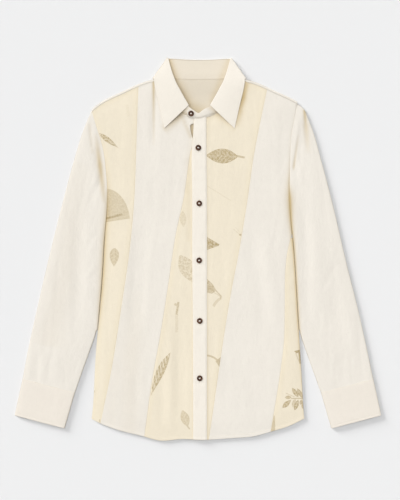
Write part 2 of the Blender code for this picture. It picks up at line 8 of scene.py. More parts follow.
# A long-sleeved cotton shirt laid flat, seen from straight above. X runs to the wearer's left,
# Y to the collar and Z up. Tables and values are in millimetres, and finished meshes in metres.
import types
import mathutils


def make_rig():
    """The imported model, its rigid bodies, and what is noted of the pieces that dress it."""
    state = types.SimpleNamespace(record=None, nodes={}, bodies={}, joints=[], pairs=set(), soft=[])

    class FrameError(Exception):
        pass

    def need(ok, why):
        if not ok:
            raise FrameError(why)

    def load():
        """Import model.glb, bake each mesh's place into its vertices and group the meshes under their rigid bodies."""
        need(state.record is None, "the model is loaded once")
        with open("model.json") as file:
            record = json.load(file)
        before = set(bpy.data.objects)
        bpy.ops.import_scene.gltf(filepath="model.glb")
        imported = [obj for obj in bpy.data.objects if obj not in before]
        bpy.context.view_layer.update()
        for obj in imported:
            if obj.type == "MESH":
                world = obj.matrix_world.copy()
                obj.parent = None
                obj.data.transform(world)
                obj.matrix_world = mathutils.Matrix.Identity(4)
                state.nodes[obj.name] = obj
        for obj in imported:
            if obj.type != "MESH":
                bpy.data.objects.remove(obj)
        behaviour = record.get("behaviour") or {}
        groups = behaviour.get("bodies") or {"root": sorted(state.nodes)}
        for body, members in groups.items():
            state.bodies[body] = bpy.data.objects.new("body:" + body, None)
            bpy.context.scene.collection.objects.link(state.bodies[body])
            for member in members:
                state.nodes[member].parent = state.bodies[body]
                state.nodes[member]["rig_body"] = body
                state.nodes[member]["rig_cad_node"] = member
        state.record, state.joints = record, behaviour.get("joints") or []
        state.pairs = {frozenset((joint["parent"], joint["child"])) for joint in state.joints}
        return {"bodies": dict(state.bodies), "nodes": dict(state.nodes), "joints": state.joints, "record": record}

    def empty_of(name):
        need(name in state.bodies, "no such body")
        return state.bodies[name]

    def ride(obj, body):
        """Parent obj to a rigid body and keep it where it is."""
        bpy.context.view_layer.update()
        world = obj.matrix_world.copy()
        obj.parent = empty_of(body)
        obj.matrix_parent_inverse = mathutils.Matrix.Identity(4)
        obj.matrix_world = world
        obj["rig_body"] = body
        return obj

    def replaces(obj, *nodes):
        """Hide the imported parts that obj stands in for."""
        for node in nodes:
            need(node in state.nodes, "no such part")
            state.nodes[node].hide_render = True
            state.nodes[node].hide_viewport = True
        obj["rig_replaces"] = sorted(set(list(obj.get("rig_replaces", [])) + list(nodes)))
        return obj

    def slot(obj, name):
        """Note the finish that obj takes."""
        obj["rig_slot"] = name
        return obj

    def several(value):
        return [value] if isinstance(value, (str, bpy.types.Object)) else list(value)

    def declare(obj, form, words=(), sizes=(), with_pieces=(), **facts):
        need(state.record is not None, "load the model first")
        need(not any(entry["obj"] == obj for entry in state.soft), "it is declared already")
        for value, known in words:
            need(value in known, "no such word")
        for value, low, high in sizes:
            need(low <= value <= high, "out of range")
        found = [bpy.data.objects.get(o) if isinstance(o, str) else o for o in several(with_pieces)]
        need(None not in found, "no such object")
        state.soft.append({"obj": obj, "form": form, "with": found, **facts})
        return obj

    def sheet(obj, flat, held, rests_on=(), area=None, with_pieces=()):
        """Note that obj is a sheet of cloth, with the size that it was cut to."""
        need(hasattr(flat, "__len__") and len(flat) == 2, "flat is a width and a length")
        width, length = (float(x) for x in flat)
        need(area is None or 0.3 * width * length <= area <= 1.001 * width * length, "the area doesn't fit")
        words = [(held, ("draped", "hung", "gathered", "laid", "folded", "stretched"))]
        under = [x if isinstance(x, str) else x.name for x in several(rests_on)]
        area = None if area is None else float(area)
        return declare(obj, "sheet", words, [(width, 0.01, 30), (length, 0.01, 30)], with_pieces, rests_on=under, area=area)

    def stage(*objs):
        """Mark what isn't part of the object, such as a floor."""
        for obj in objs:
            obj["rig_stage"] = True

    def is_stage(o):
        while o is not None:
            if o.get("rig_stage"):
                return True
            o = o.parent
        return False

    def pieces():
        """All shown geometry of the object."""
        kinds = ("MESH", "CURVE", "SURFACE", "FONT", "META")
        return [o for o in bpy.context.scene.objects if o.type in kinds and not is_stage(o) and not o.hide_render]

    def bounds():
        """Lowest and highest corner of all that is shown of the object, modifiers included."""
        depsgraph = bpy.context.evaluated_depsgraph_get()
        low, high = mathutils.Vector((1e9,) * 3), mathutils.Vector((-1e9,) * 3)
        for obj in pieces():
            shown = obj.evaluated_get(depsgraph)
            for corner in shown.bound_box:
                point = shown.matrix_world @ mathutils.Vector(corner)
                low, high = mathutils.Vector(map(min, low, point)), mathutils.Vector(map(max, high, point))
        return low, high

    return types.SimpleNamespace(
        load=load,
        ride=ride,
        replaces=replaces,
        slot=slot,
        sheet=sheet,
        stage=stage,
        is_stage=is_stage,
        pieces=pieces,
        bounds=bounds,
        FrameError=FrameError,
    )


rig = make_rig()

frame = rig.load()
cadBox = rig.bounds()
millimetre = 0.001


# Camera, light and floor
view = {
    "middleX": 0.0042,  # metres, the middle of the photo
    "middleY": -0.0012,
    "photoHeight": 1.05,  # metres of floor from the top of the photo to its bottom
    "lens": 85, "sensor": 36,
}
light = {
    # name, degrees round from +X, above the floor and across, strength, what it lights
    "suns": (
        ("floorLight", 142, 13, 18, 5, "floor"), ("floorFill", 110, 80, 64, 0.67, "floor"),
        ("keyLight", 136, 46, 64, 1.79, "shirt"), ("topLight", 110, 80, 64, 1.2, "all"),
    ),
    "sunColour": (1, 0.995, 0.985), "skyStrength": 0.27, "skyColour": (0.985, 0.992, 1),
    "floorColour": (0.72, 0.723, 0.729), "floorRoughness": 0.9,
    "floorReach": 3,  # metres from the middle to each side
    "floorDepth": -0.0002,  # metres, just under the back
}


def makeCamera():
    data = bpy.data.cameras.new("camera")
    data.lens = view["lens"]
    data.sensor_width = view["sensor"]
    camera = bpy.data.objects.new("camera", data)
    distance = view["photoHeight"] * view["lens"] / view["sensor"]
    camera.location = (view["middleX"], view["middleY"], distance)
    bpy.context.collection.objects.link(camera)
    bpy.context.scene.camera = camera


# A large soft light from the upper left that leaves out the floor, a softer one from above,
# and a dim even sky. A low light and a fill reach only the floor, and draw the shirt's soft
# shadow on it.
def makeLight(floor):
    reach = {}
    for lights, state in (("floor", "INCLUDE"), ("shirt", "EXCLUDE")):
        reach[lights] = bpy.data.collections.new(lights + "Light")
        reach[lights].objects.link(floor)
        reach[lights].collection_objects[0].light_linking.link_state = state
    for name, turn, height, across, strength, lights in light["suns"]:
        data = bpy.data.lights.new(name, "SUN")
        data.energy = strength
        data.color = light["sunColour"]
        data.angle = math.radians(across)
        sun = bpy.data.objects.new(name, data)
        turn, height = math.radians(turn), math.radians(height)
        flat = math.cos(height)
        toSun = Vector((math.cos(turn) * flat, math.sin(turn) * flat, math.sin(height)))
        sun.rotation_mode = "QUATERNION"
        sun.rotation_quaternion = toSun.to_track_quat("Z", "Y")
        bpy.context.collection.objects.link(sun)
        if lights in reach:
            sun.light_linking.receiver_collection = reach[lights]
    world = bpy.data.worlds.new("sky")
    world.use_nodes = True
    background = world.node_tree.nodes["Background"]
    background.inputs["Color"].default_value = (*light["skyColour"], 1)
    background.inputs["Strength"].default_value = light["skyStrength"]
    bpy.context.scene.world = world
    bpy.context.scene.view_settings.view_transform = "Standard"


def makeFloor():
    size, depth = light["floorReach"], light["floorDepth"]
    mesh = bpy.data.meshes.new("floor")
    corners = [(-size, -size, depth), (size, -size, depth), (size, size, depth), (-size, size, depth)]
    mesh.from_pydata(corners, [], [(0, 1, 2, 3)])
    material = bpy.data.materials.new("floor")
    material.use_nodes = True
    shader = material.node_tree.nodes["Principled BSDF"]
    shader.inputs["Base Color"].default_value = (*light["floorColour"], 1)
    shader.inputs["Roughness"].default_value = light["floorRoughness"]
    shader.inputs["Specular IOR Level"].default_value = 0.0
    mesh.materials.append(material)
    floor = bpy.data.objects.new("floor", mesh)
    bpy.context.collection.objects.link(floor)
    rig.stage(floor)
    return floor


makeCamera()
makeLight(makeFloor())
print("camera, light and floor")


# The shirt's measures
# Named columns, each an array with one value for each row.
def table(columns, *rows):
    return dict(zip(columns.split(), np.array(rows, float).T))


wall = {
    "cad": 1.2,  # thickness of the solids' cloth
    "cloth": 0.8,  # thickness of the cloth that shows, under the same upper faces
    "placket": 1.6, "cuff": 1.2, "gap": 0.3,
}
fullTurn = 2 * math.pi
body = {
    "yokeSeamY": 208, "frontLoft": 2, "seamLoft": 1, "sideRound": 30,
    "hemRound": 40, "backInset": 1.5, "placketX": 3,
    # the placket holds the fronts flat this far from its middle, and the folds' run from there
    "placketHold": (16, 22), "placketHalf": 15.4, "bandTuck": 4, "shoulderLip": 3,
    "shoulderBend": 1.25, "neckX": 3,
    "seamGrow": (60, 60),  # Y where the loft at the sides starts, and the run to its height
    "hemShare": 0.35,  # share of the loft that is left at the hem
    "topRound": 30,
    "sideFree": 25,  # how far from the sides the large folds reach their height
    # the back of the collar lifts the yoke from this Y and within this distance of the neck
    "liftY": (318, 24), "liftOut": (122, 20),
}
creaseLook = {
    "sideFade": 18,  # millimetres over which the small creases fade out at each edge
    "topFade": 14, "hemFade": 30, "hemShare": 0.45, "placketHold": (14, 16),
    "share": 0.7, "swell": 0.12,
}
lineFade = {
    "fold": 0.3,  # share of a fold's length over which it fades at each end
    "shade": 6,  # millimetres past its ends over which a line of shade fades
}
rumple = {
    "seed": 7, "waves": 14,
    "shortest": 24,  # millimetres
    "spread": 46,  # the longest wave is this much longer
    "tilt": 0.9,  # radians, how far most waves turn away from the X axis
    "turned": 0.3,  # share of the waves that run in any direction
    "slower": 0.55,  # how fast the waves change along Y against X
    "wander": 1.3, "wanderWave": (0.012, 0.014),
}
rightEdge = table(
    "y x",
    (-420, -233), (-355, -223), (-214, -214), (-127, -206), (-63, -200.5), (24, -195.5), (93, -190.5),
    (131, -190.7), (163, -193.2), (195, -196.5), (222, -202), (250, -211), (292, -223.5),
)
leftEdge = table(
    "y x",
    (-420, 233), (-355, 223), (-277, 218), (-127, 208.7), (7, 200), (59, 194.7), (104, 192.3),
    (182, 193.3), (217, 194.2), (244, 197), (269, 201.5), (304, 209),
)
hemLine = table(
    "x y",
    (-233, -350), (-210, -362.4), (-178, -375.2), (-115, -391.8), (-82, -400.6), (-31, -397.6),
    (4, -399.3), (75, -395.5), (116, -392.2), (153, -382.1), (187, -371.8), (233, -350),
)
shoulder = table(
    "out y",
    (80, 361), (90, 361), (95, 358.2), (99, 355.8), (108, 353.4), (118, 350.3), (160, 331.5),
    (205, 309.5), (217, 301), (227, 291.5),
)
neckline = table(
    "out y",
    (0, 276.5), (20, 279), (34, 285.5), (53, 300.5), (72, 323.5), (84, 345), (89, 355.9),
)
rightSideBorder = table(
    "y x",
    (-420, -214.5), (-375, -206.5), (-255, -182), (-127, -161.5), (15, -141.5), (115, -133),
    (195, -130), (259, -128), (350, -124.5),
)
rightCentreBorder = table(
    "y x",
    (-420, -116.5), (-377, -110.5), (-270, -95.5), (-189, -80.6), (-80, -63.2), (34, -46), (116, -28.5),
    (179, -19.7), (206, -15.4), (224, -9), (262, 0),
)
leftCentreBorder = table(
    "y x",
    (-420, 19.5), (-352, 29.6), (-247, 44.7), (-115, 65), (24, 91), (112, 105), (199, 117.5),
    (262, 129.5), (350, 148),
)
leftSideBorder = table(
    "y x",
    (-420, 146), (-348, 158), (-273, 170.3), (-189, 180.6), (-127, 182), (-42, 183.5), (-11, 186.5),
    (20, 193.5), (60, 206),
)
placketStrip = table(
    "y left right",
    (-420, -10.4, 19.3), (-180, -10.9, 19.3), (0, -12.4, 19.3), (125, -12.4, 18.9), (205, -13.2, 18.2),
    (240, -10.6, 18), (290, -7.6, 18),
)
rightFrontEdge = table(
    "y x",
    (-420, -6.4), (190, -8.6), (226, -8.8), (232, -10.6), (238, -12.8), (258, -16.2), (261, -16.2),
    (262.2, -14.6), (264, -7.6), (267, -5.6), (290, -4),
)

# The large folds, the same as in the solids
frontFolds = table(
    "x1 y1 x2 y2 width rise",
    (-115, 95, -133, -200, 26, -1.5), (-150, 90, -163, -190, 24, 1.1), (-38, -120, -38, -400, 20, -1.4),
    (-58, -140, -58, -400, 17, 0.9), (-76, -230, -73, -385, 16, -1.2), (106, 60, 148, -200, 26, -1.6),
    (132, 60, 172, -180, 22, 1.1), (-93, 340, -93, 205, 12, -1.2), (-150, 318, -140, 190, 20, 0.7),
    (160, 318, 150, 180, 22, 0.7), (185, 270, 176, 120, 16, -0.9), (-172, 250, -168, 110, 18, -0.8),
)
rightSleeveFolds = table(
    "x1 y1 x2 y2 width rise",
    (-250, 120, -254, -190, 20, -1.6), (-226, 60, -226, -130, 18, 0.8),
    (-212, 225, -201, 115, 14, -1.2), (-246, -40, -208, -84, 12, -0.9), (-292, 40, -318, -180, 22, 0.6),
    (-335, -205, -340, -290, 12, -0.9),
)
leftSleeveFolds = table(
    "x1 y1 x2 y2 width rise",
    (222, 150, 229, -190, 18, -1.6), (250, 90, 253, -180, 20, 0.8), (287, 0, 291, -190, 20, -1.2),
    (224, 288, 201, 140, 13, -1.2), (318, -90, 330, -230, 20, 0.6), (300, -215, 306, -290, 12, -0.9),
)

# Finer creases of soft, washed cotton: each a line with a sideways bow
frontCreases = table(
    "x1 y1 x2 y2 bow width rise",
    (-186, 205, -150, 172, 4, 7, -0.5), (-186, 190, -160, 138, -5, 8, 0.45),
    (-182, 150, -140, 60, 6, 10, -0.4), (-120, 330, -112, 215, 5, 9, -0.4),
    (-136, 300, -128, 235, -3, 7, 0.35), (-70, 240, -78, 40, 6, 14, 0.4),
    (-52, 200, -60, 20, -5, 11, -0.4), (-24, 180, -40, 60, 5, 8, -0.4), (-28, 60, -46, -70, -4, 9, 0.4),
    (-92, 30, -106, -150, 6, 10, 0.35), (-176, 20, -190, -180, 6, 9, -0.45),
    (-196, -150, -204, -330, -4, 8, 0.4), (-178, -190, -160, -330, 6, 12, 0.45),
    (-142, -210, -134, -370, -6, 11, -0.5), (-112, -220, -112, -340, 4, 9, 0.4),
    (-24, -200, -22, -380, 3, 8, -0.4), (38, 225, 34, 90, 4, 9, -0.4), (58, 262, 62, 140, -5, 11, 0.35),
    (84, 200, 78, 40, 6, 12, 0.4), (118, 325, 122, 215, 4, 8, -0.4), (136, 325, 132, 240, -3, 7, 0.35),
    (150, 300, 168, 190, 5, 9, -0.4), (186, 180, 166, 110, 5, 9, 0.45),
    (176, 110, 150, -10, -7, 11, -0.4), (40, 60, 52, -90, -5, 10, -0.4), (66, 0, 92, -170, 6, 12, 0.4),
    (40, -130, 34, -300, -5, 10, 0.45), (60, -190, 62, -360, 5, 12, -0.5),
    (88, -230, 96, -375, -5, 13, 0.45), (118, -230, 126, -370, 5, 11, -0.45),
    (150, -180, 148, -330, -5, 10, 0.4), (176, -170, 190, -320, 5, 11, -0.5),
    (196, -120, 206, -300, -4, 8, 0.4), (190, 40, 186, -110, 4, 8, -0.45),
)
rightSleeveCreases = table(
    "x1 y1 x2 y2 bow width rise",
    (-214, 232, -196, 108, 4, 9, -0.5), (-222, 268, -208, 170, -3, 7, 0.6),
    (-226, 262, -222, 205, 0, 4, -0.5), (-226, 280, -214, 205, 5, 7, -0.6),
    (-206, 200, -226, 120, -6, 9, 0.5), (-200, 150, -232, 70, 6, 9, -0.5),
    (-244, 230, -262, 130, 5, 10, 0.4), (-236, 180, -252, 60, -5, 9, -0.45),
    (-272, 130, -290, 0, 6, 11, 0.4), (-206, 40, -236, -20, 6, 8, -0.55),
    (-208, -20, -250, -66, -6, 9, 0.5), (-262, -60, -222, -118, 6, 8, -0.5),
    (-300, -30, -262, -100, -8, 10, 0.4), (-282, 20, -300, -140, 5, 9, -0.5),
    (-270, -130, -250, -230, 6, 10, 0.5), (-316, -120, -330, -250, -5, 10, -0.5),
    (-290, -190, -296, -292, 4, 8, 0.6), (-312, -215, -318, -288, -3, 6, -0.7),
    (-276, -230, -276, -296, 3, 6, -0.5), (-350, -200, -352, -276, 3, 6, 0.5),
)
leftSleeveCreases = table(
    "x1 y1 x2 y2 bow width rise",
    (223, 300, 229, 200, 0, 6, -1.1), (214, 292, 207, 175, 2, 8, 0.9), (212, 245, 199, 160, 0, 5, -0.8),
    (216, 290, 212, 215, -5, 7, 0.5), (208, 210, 228, 130, 6, 9, 0.5),
    (236, 250, 258, 130, -5, 10, -0.4), (204, 120, 236, 40, -6, 9, 0.45),
    (262, 150, 282, 10, 6, 11, -0.45), (212, 40, 246, -24, -6, 8, -0.5),
    (214, -30, 252, -76, 6, 9, 0.5), (268, 40, 300, -90, -5, 9, 0.45),
    (306, -20, 262, -90, 7, 9, -0.45), (232, -110, 262, -170, -6, 9, -0.5),
    (266, -110, 270, -230, 6, 10, 0.45), (340, -140, 346, -260, 4, 9, -0.5),
    (278, -190, 282, -294, -4, 8, 0.55), (322, -210, 328, -288, 3, 6, -0.7),
    (290, -232, 292, -296, 3, 6, -0.4), (354, -206, 358, -274, -3, 6, 0.5),
)
# Painted shade, warm, where the collar and folds cast shadow and where cloth faces cloth: lines that start and end at
# their own depth
frontShades = table(
    "x1 y1 depth1 x2 y2 depth2 width",
    (-93, 350, 0.95, -93, 300, 0.55, 2.8), (-93, 300, 0.55, -93, 222, 0.1, 2.6),
    (102, 350, 0.6, 95, 320, 0.95, 6), (95, 320, 0.95, 87, 292, 0.7, 6.5),
    (87, 292, 0.7, 79, 262, 0.35, 8), (-22, 300, 0.35, -38, 281, 0.65, 8),
    (-38, 281, 0.65, -70, 252, 0.3, 9), (22, 302, 0.5, 52, 276, 0.35, 8.5),
    (52, 276, 0.35, 78, 255, 0.15, 7), (-34, 279, 0.25, -15, 236, 0.35, 4.5),
    (-12, 232, 0.1, -22, 120, 0.16, 9), (-20, 190, 0.16, -18, 20, 0.12, 7),
    (-126, -90, 0.02, -139, -210, 0.09, 22), (-139, -210, 0.09, -146, -400, 0.09, 22),
    (-168, -240, 0.05, -186, -390, 0.05, 16),
)
neckShades = table(
    "x1 y1 depth1 x2 y2 depth2 width",
    (-64, 400, 0.45, -44, 345, 0.35, 9), (-44, 345, 0.35, -20, 300, 0.45, 12),
    (-20, 300, 0.35, 6, 286, 0.35, 14), (66, 400, 0.2, 30, 310, 0.2, 7),
)
rightSleeveShades = table(
    "x1 y1 depth1 x2 y2 depth2 width",
    (-214, 240, 0.1, -205.5, 176, 0.85, 5.5), (-205.5, 176, 0.85, -196, 100, 0.3, 5.5),
    (-228, 262, 0.15, -221, 205, 0.15, 4), (-250, 180, 0.03, -272, -20, 0.07, 26),
    (-272, -20, 0.07, -312, -200, 0.07, 26),
)
leftSleeveShades = table(
    "x1 y1 depth1 x2 y2 depth2 width",
    (223.5, 290, 0.85, 226, 262, 0.55, 3.6), (226, 262, 0.55, 231, 205, 0.1, 5.5),
    (210, 236, 0.15, 200.5, 172, 0.55, 2.6),
)
backCreases = table(
    "x1 y1 x2 y2 bow width rise",
    (-120, 150, -128, -160, 8, 16, 0.35), (-60, 100, -70, -260, -8, 18, 0.3),
    (20, 160, 10, -120, 8, 16, 0.35), (80, 60, 96, -280, -8, 18, 0.3),
    (140, 150, 150, -140, 6, 14, 0.35),
)

collarFront = table(
    "freeOut freeY freeZ rollOut rollY rollZ seamOut seamY seamZ",
    (73.8, 253.5, 5.5, 23, 300.6, 11.8, 34, 283, 4.9),
    (83.6, 298.3, 6.1, 41, 332.7, 12.4, 55, 298.5, 4.9),
    (92.6, 336, 7, 53.2, 357.4, 11.1, 74, 321, 5.5), (95, 351, 7.8, 60.5, 379, 8.8, 82, 344, 6.3),
)
collarBack = table(
    "freeOut freeY rollOut rollY seamOut seamY seamZ",
    (78, 349.5, 51, 398.8, 74, 359, 3.7), (40, 347, 27, 397.2, 38, 357.2, 3.7),
    (0, 347, 0, 396.6, 0, 356.9, 3.7),
)
collar = {
    "sideFree": (98.3, 358.6), "sideRoll": (68.2, 401.2), "sideSeam": (87, 364.5),
    "sideBend": (3.6, 2.4), "standSideBend": 1.25, "fallFloor": 0.6, "rollBend": 0.75,
    "seamSink": (1.9, 0.95),  # how far the stand's lower edge sinks, in front and at the back
    # Painted light: the left leaf is made paler than the right one, where the light falls differently on the two
    "leafPaintedLight": 0.7,  # the left leaf is this much paler than the right one
    "leafBlend": 40,  # distance from the middle where each leaf's paleness is full
    "leafShares": (0, 0.36, 0.7, 0.87, 1),  # shares along a leaf of collarFront's rows
    "leafLines": (0, 0.0008, 0.0025, 0.005, 0.01, 0.02, 0.032, 0.0375, 0.043, 0.055),
    "leafRest": (0.07, 0.985, 46), "sideLines": 17, "backLines": (0.15, 3, 20),
    "fallEdge": (0, 0.1, 0.3, 0.6, 1.1, 2.2, 3.6, 4.2, 4.8, 6.2),  # millimetres in from the edge
    "fallRest": (0.16, 1, 22), "rollSteps": 13,
    "standEdge": (0, 0.005, 0.015, 0.03, 0.05),
    "standRest": (0.1, 0.9, 12),
    "standFoot": (0.95, 0.97, 0.985, 0.995, 1),
    "standPower": 1.6, "standInset": 0.3,
    "endLines": (5, 40),  # lines of the grid at the right and the left end of the stand
    "sink": (0.7, 0.3),  # share of the stand's height where its lower edge starts to sink
    # Y at which the sinking, the neck's shade and the back's shade start, and their runs
    "sinkY": (296, 30), "neckY": (296, 12), "shadeY": (300, 16), "shadeShare": 1.2,
    "stitchIn": 4.2, "stitchDip": (0.16, 0.6),
    # lines of the grid in each leaf, the one along the stitches, and the last one in front
    "stitchRows": (58, 7, 31),
}
rightStandEnd = table(
    "topX topY topZ seamX seamY seamZ",
    (-9.5, 291.5, 7.4, -9.5, 277.6, 5), (-15, 295.4, 8.9, -16.5, 278.6, 4.9),
)
leftStandEnd = table(
    "topX topY topZ seamX seamY seamZ",
    (19, 296.8, 10.3, 23, 278.6, 6.4), (9, 291, 9.4, 10, 275.2, 6.6), (1, 285.4, 8.9, 1.5, 274, 6.6),
    (-7.5, 290.2, 9.9, -7.5, 274.2, 6.6), (-14, 294.2, 11, -14, 274.9, 6.7),
    (-18.6, 294.6, 11.4, -19, 277.2, 7.3), (-22, 291.6, 11.2, -22.6, 281.4, 8.6),
    (-23.6, 288.2, 10.6, -24, 285.6, 9.8),
)

rightSleeveShape = table(
    "t outerOut outerY innerOut innerY top",
    (0.00, 224, 291.6, 191.2, 93, 3.8), (0.12, 240, 252.5, 193.4, 60, 4.6),
    (0.3, 259.5, 188, 197.6, 8, 4.9), (0.5, 285.2, 92, 202.8, -62, 4.9),
    (0.7, 317.4, -38, 209.4, -135, 4.9), (0.82, 337.6, -126, 216, -180, 4.9),
    (0.92, 355.2, -206, 237.4, -241, 4.9), (1.00, 367.9, -272.6, 258.3, -300.6, 4.7),
)
leftSleeveShape = table(
    "t outerOut outerY innerOut innerY top",
    (0.00, 209.5, 304.6, 192.9, 98, 3.8), (0.05, 222.6, 294.6, 193.2, 82, 4.3),
    (0.12, 236.6, 262, 194.4, 60, 4.6), (0.3, 258.2, 188, 200, 8, 4.9),
    (0.5, 283.4, 92, 204.6, -62, 4.9), (0.7, 313.8, -38, 210.4, -135, 4.9),
    (0.82, 335.8, -126, 216, -180, 4.9), (0.92, 353.8, -206, 236.8, -241, 4.9),
    (1.00, 367.9, -272.6, 258.3, -300.6, 4.7),
)
sleeve = {
    "edge": 2.8,  # thickness along the creased edges
    "armholeGap": -0.3, "sideCrease": 0.8, "partY": -170, "capFade": 0.34,
    "power": 5, "cuffTop": 5.2, "cuffEdge": 3.4,
    "points": 61,  # across one face
    "ends": (0, 0.0004, 0.001, 0.002, 0.0035, 0.006),  # shares of the length near each end
    "rings": (0.011, 0.99, 166), "length": 560, "faceWidth": 165,
    "endDip": (0.2, 1.6),  # depth and reach of the dip at the armhole's seam
    "foldPower": 6,  # how squarely folds and creases stop short of the creased edges
    "creasePower": 8, "swell": 0.2,
    "swellTurn": (0.9, 0.25),  # how the swells' X follows X and Y
    "underShare": 0.6,
    "shadeTop": (150, 50),  # Y below which the sleeve takes up the body's side shade, and the run
}
cuffEnds = table(
    "outerOut outerY innerOut innerY",
    (367.8, -271.5, 258.2, -299.5), (384.4, -348, 280, -375.4),
)
buttonPlaces = ((0.6, 213.0), (2.5, 96.5), (2.5, -23.0), (3.6, -149.6), (3.6, -269.7))


# Curves and surfaces
# Cubic pieces through the table's points, with slopes taken from each point's neighbours.
def curve(rows, key, value, at):
    knots, values = rows[key], rows[value]
    slopes = np.gradient(values, knots)
    i = np.clip(np.searchsorted(knots, at) - 1, 0, len(knots) - 2)
    span = knots[i + 1] - knots[i]
    t = np.clip((at - knots[i]) / span, 0, 1)
    start = (1 + 2 * t) * (1 - t) ** 2 * values[i] + t * (1 - t) ** 2 * span * slopes[i]
    end = t * t * (3 - 2 * t) * values[i + 1] + t * t * (t - 1) * span * slopes[i + 1]
    return start + end


# 0 up to t = 0, 1 from t = 1, and 3t^2 - 2t^3 between.
def ease(t):
    t = np.clip(t, 0, 1)
    return t * t * (3 - 2 * t)


# 0 up to start and 1 from start + run, eased between.
def grow(value, start, run):
    return ease((value - start) / run)


# 1 up to end - run and 0 from end, eased between.
def fall(value, end, run):
    return ease((end - value) / run)


# depth * exp(-(distance / reach)^2).
def bump(distance, depth, reach):
    return depth * np.exp(-((distance / reach) ** 2))


# Share along the line from (x1, y1) to (x2, y2), distance across it, and its length.
def lineShares(row, x, y):
    dx, dy = row["x2"] - row["x1"], row["y2"] - row["y1"]
    length = math.hypot(dx, dy)
    along = ((x - row["x1"]) * dx + (y - row["y1"]) * dy) / length**2
    across = ((x - row["x1"]) * dy - (y - row["y1"]) * dx) / length
    return along, across, length


# The rows of a table, each with its columns' names.
def rowsOf(rows):
    return [dict(zip(rows, values)) for values in zip(*rows.values())]


# Sum over the folds of rise * (1 - (across / width)^2)^2, faded out at both ends.
# A bow moves the middle of a fold's line sideways, by bow * 4 along (1 - along).
def foldRise(folds, x, y):
    total = np.zeros(np.shape(x))
    for row in rowsOf(folds):
        along, across, _ = lineShares(row, x, y)
        across = across - row.get("bow", 0) * 4 * along * (1 - along)
        profile = (1 - np.clip(across / row["width"], -1, 1) ** 2) ** 2
        total += row["rise"] * profile * ease(np.minimum(along, 1 - along) / lineFade["fold"])
    return total


# The most of depth * exp(-(across / width)^2) over the lines, faded out past both ends.
def shadeLines(lines, x, y):
    most = np.zeros(np.shape(x))
    fade = lineFade["shade"]
    for row in rowsOf(lines):
        along, across, length = lineShares(row, x, y)
        depth = row["depth1"] + (row["depth2"] - row["depth1"]) * np.clip(along, 0, 1)
        ends = ease((np.minimum(along, 1 - along) * length + fade) / fade)
        most = np.maximum(most, bump(across, depth, row["width"]) * ends)
    return most


waves = np.random.default_rng(rumple["seed"]).uniform(0, 1, (rumple["waves"], 4))


# Uneven low swells: a sum of sines of x and y whose lengths run from 24 to 70 mm.
def rumpleRise(x, y, size):
    total = np.zeros(np.shape(x))
    slow, more = rumple["wanderWave"]
    for a, b, c, d in waves:
        angle = rumple["tilt"] * (a - 0.5) if c > rumple["turned"] else math.pi * a
        wave = fullTurn / (rumple["shortest"] + rumple["spread"] * b)
        place = x * math.cos(angle) + rumple["slower"] * y * math.sin(angle)
        wander = rumple["wander"] * np.sin(y * (slow + more * c) + fullTurn * a)
        total += np.sin(wave * place + fullTurn * d + wander)
    return size * total / math.sqrt(len(waves))


# The upper edge of the fronts: the neckline, then the shoulder seam.
def frontTop(x):
    out = np.abs(x - body["neckX"])
    drop = body["shoulderLip"] + body["shoulderBend"] + wall["cad"] / 2 + wall["gap"]
    seam = curve(shoulder, "out", "y", out) - drop
    return np.where(out < neckline["out"][-1], curve(neckline, "out", "y", out), seam)


def hemY(x):
    return curve(hemLine, "x", "y", x)


# The back of the collar lies under the yoke and lifts it by its own thickness and a gap.
def neckLift(x, y):
    out = np.abs(x - body["neckX"])
    return (wall["cad"] + wall["gap"]) * grow(y, *body["liftY"]) * fall(out, *body["liftOut"])


# Distance from the nearer side of the body.
def fromSides(x, y):
    return np.minimum(x - curve(rightEdge, "y", "x", y), curve(leftEdge, "y", "x", y) - x)


# Underside of the fronts in the solids: loft and large folds over the back's thickness.
# The loft grows from the sides as the sine of the distance, a quarter turn in all.
def frontHeight(x, y):
    inside = fromSides(x, y)
    edge = body["seamLoft"] * grow(y, *body["seamGrow"])
    fromHem = ease((y - hemY(x)) / body["hemRound"])
    middle = body["frontLoft"] * (body["hemShare"] + (1 - body["hemShare"]) * fromHem)
    loft = edge + (middle - edge) * np.sin(np.pi / 2 * np.clip(inside / body["sideRound"], 0, 1))
    free = grow(np.abs(x - body["placketX"]), *body["placketHold"])
    loft = loft + free * ease(inside / body["sideFree"]) * foldRise(frontFolds, x, y)
    fromTop = ease((frontTop(x) - y) / body["topRound"])
    loft = body["seamLoft"] + (loft - body["seamLoft"]) * fromTop
    return neckLift(x, y) + wall["cad"] + wall["gap"] + np.maximum(loft, 0)


# Upper face of the fronts: the solids' face with finer creases and swells on it.
def frontFace(x, y):
    look = creaseLook
    free = ease(fromSides(x, y) / look["sideFade"]) * ease((frontTop(x) - y) / look["topFade"])
    free = free * (look["hemShare"] + (1 - look["hemShare"]) * ease((y - hemY(x)) / look["hemFade"]))
    free = free * grow(np.abs(x - body["placketX"]), *look["placketHold"])
    fine = look["share"] * foldRise(frontCreases, x, y) + rumpleRise(x, y, look["swell"])
    return frontHeight(x, y) + wall["cad"] + free * fine


def unit(vectors):
    return vectors / np.maximum(np.linalg.norm(vectors, axis=-1, keepdims=True), 1e-9)


# Cross product of the two directions of a grid at each point.
def gridNormals(grid, around=False):
    if around:
        across = np.roll(grid, -1, axis=1) - np.roll(grid, 1, axis=1)
    else:
        across = np.gradient(grid, axis=1)
    return unit(np.cross(across, np.gradient(grid, axis=0)))


# Distance along the grid's lines from their first point.
def runLength(grid, axis):
    steps = np.linalg.norm(np.diff(grid, axis=axis), axis=-1)
    start = np.zeros_like(np.take(steps, [0], axis=axis))
    return np.concatenate([start, np.cumsum(steps, axis=axis)], axis=axis)


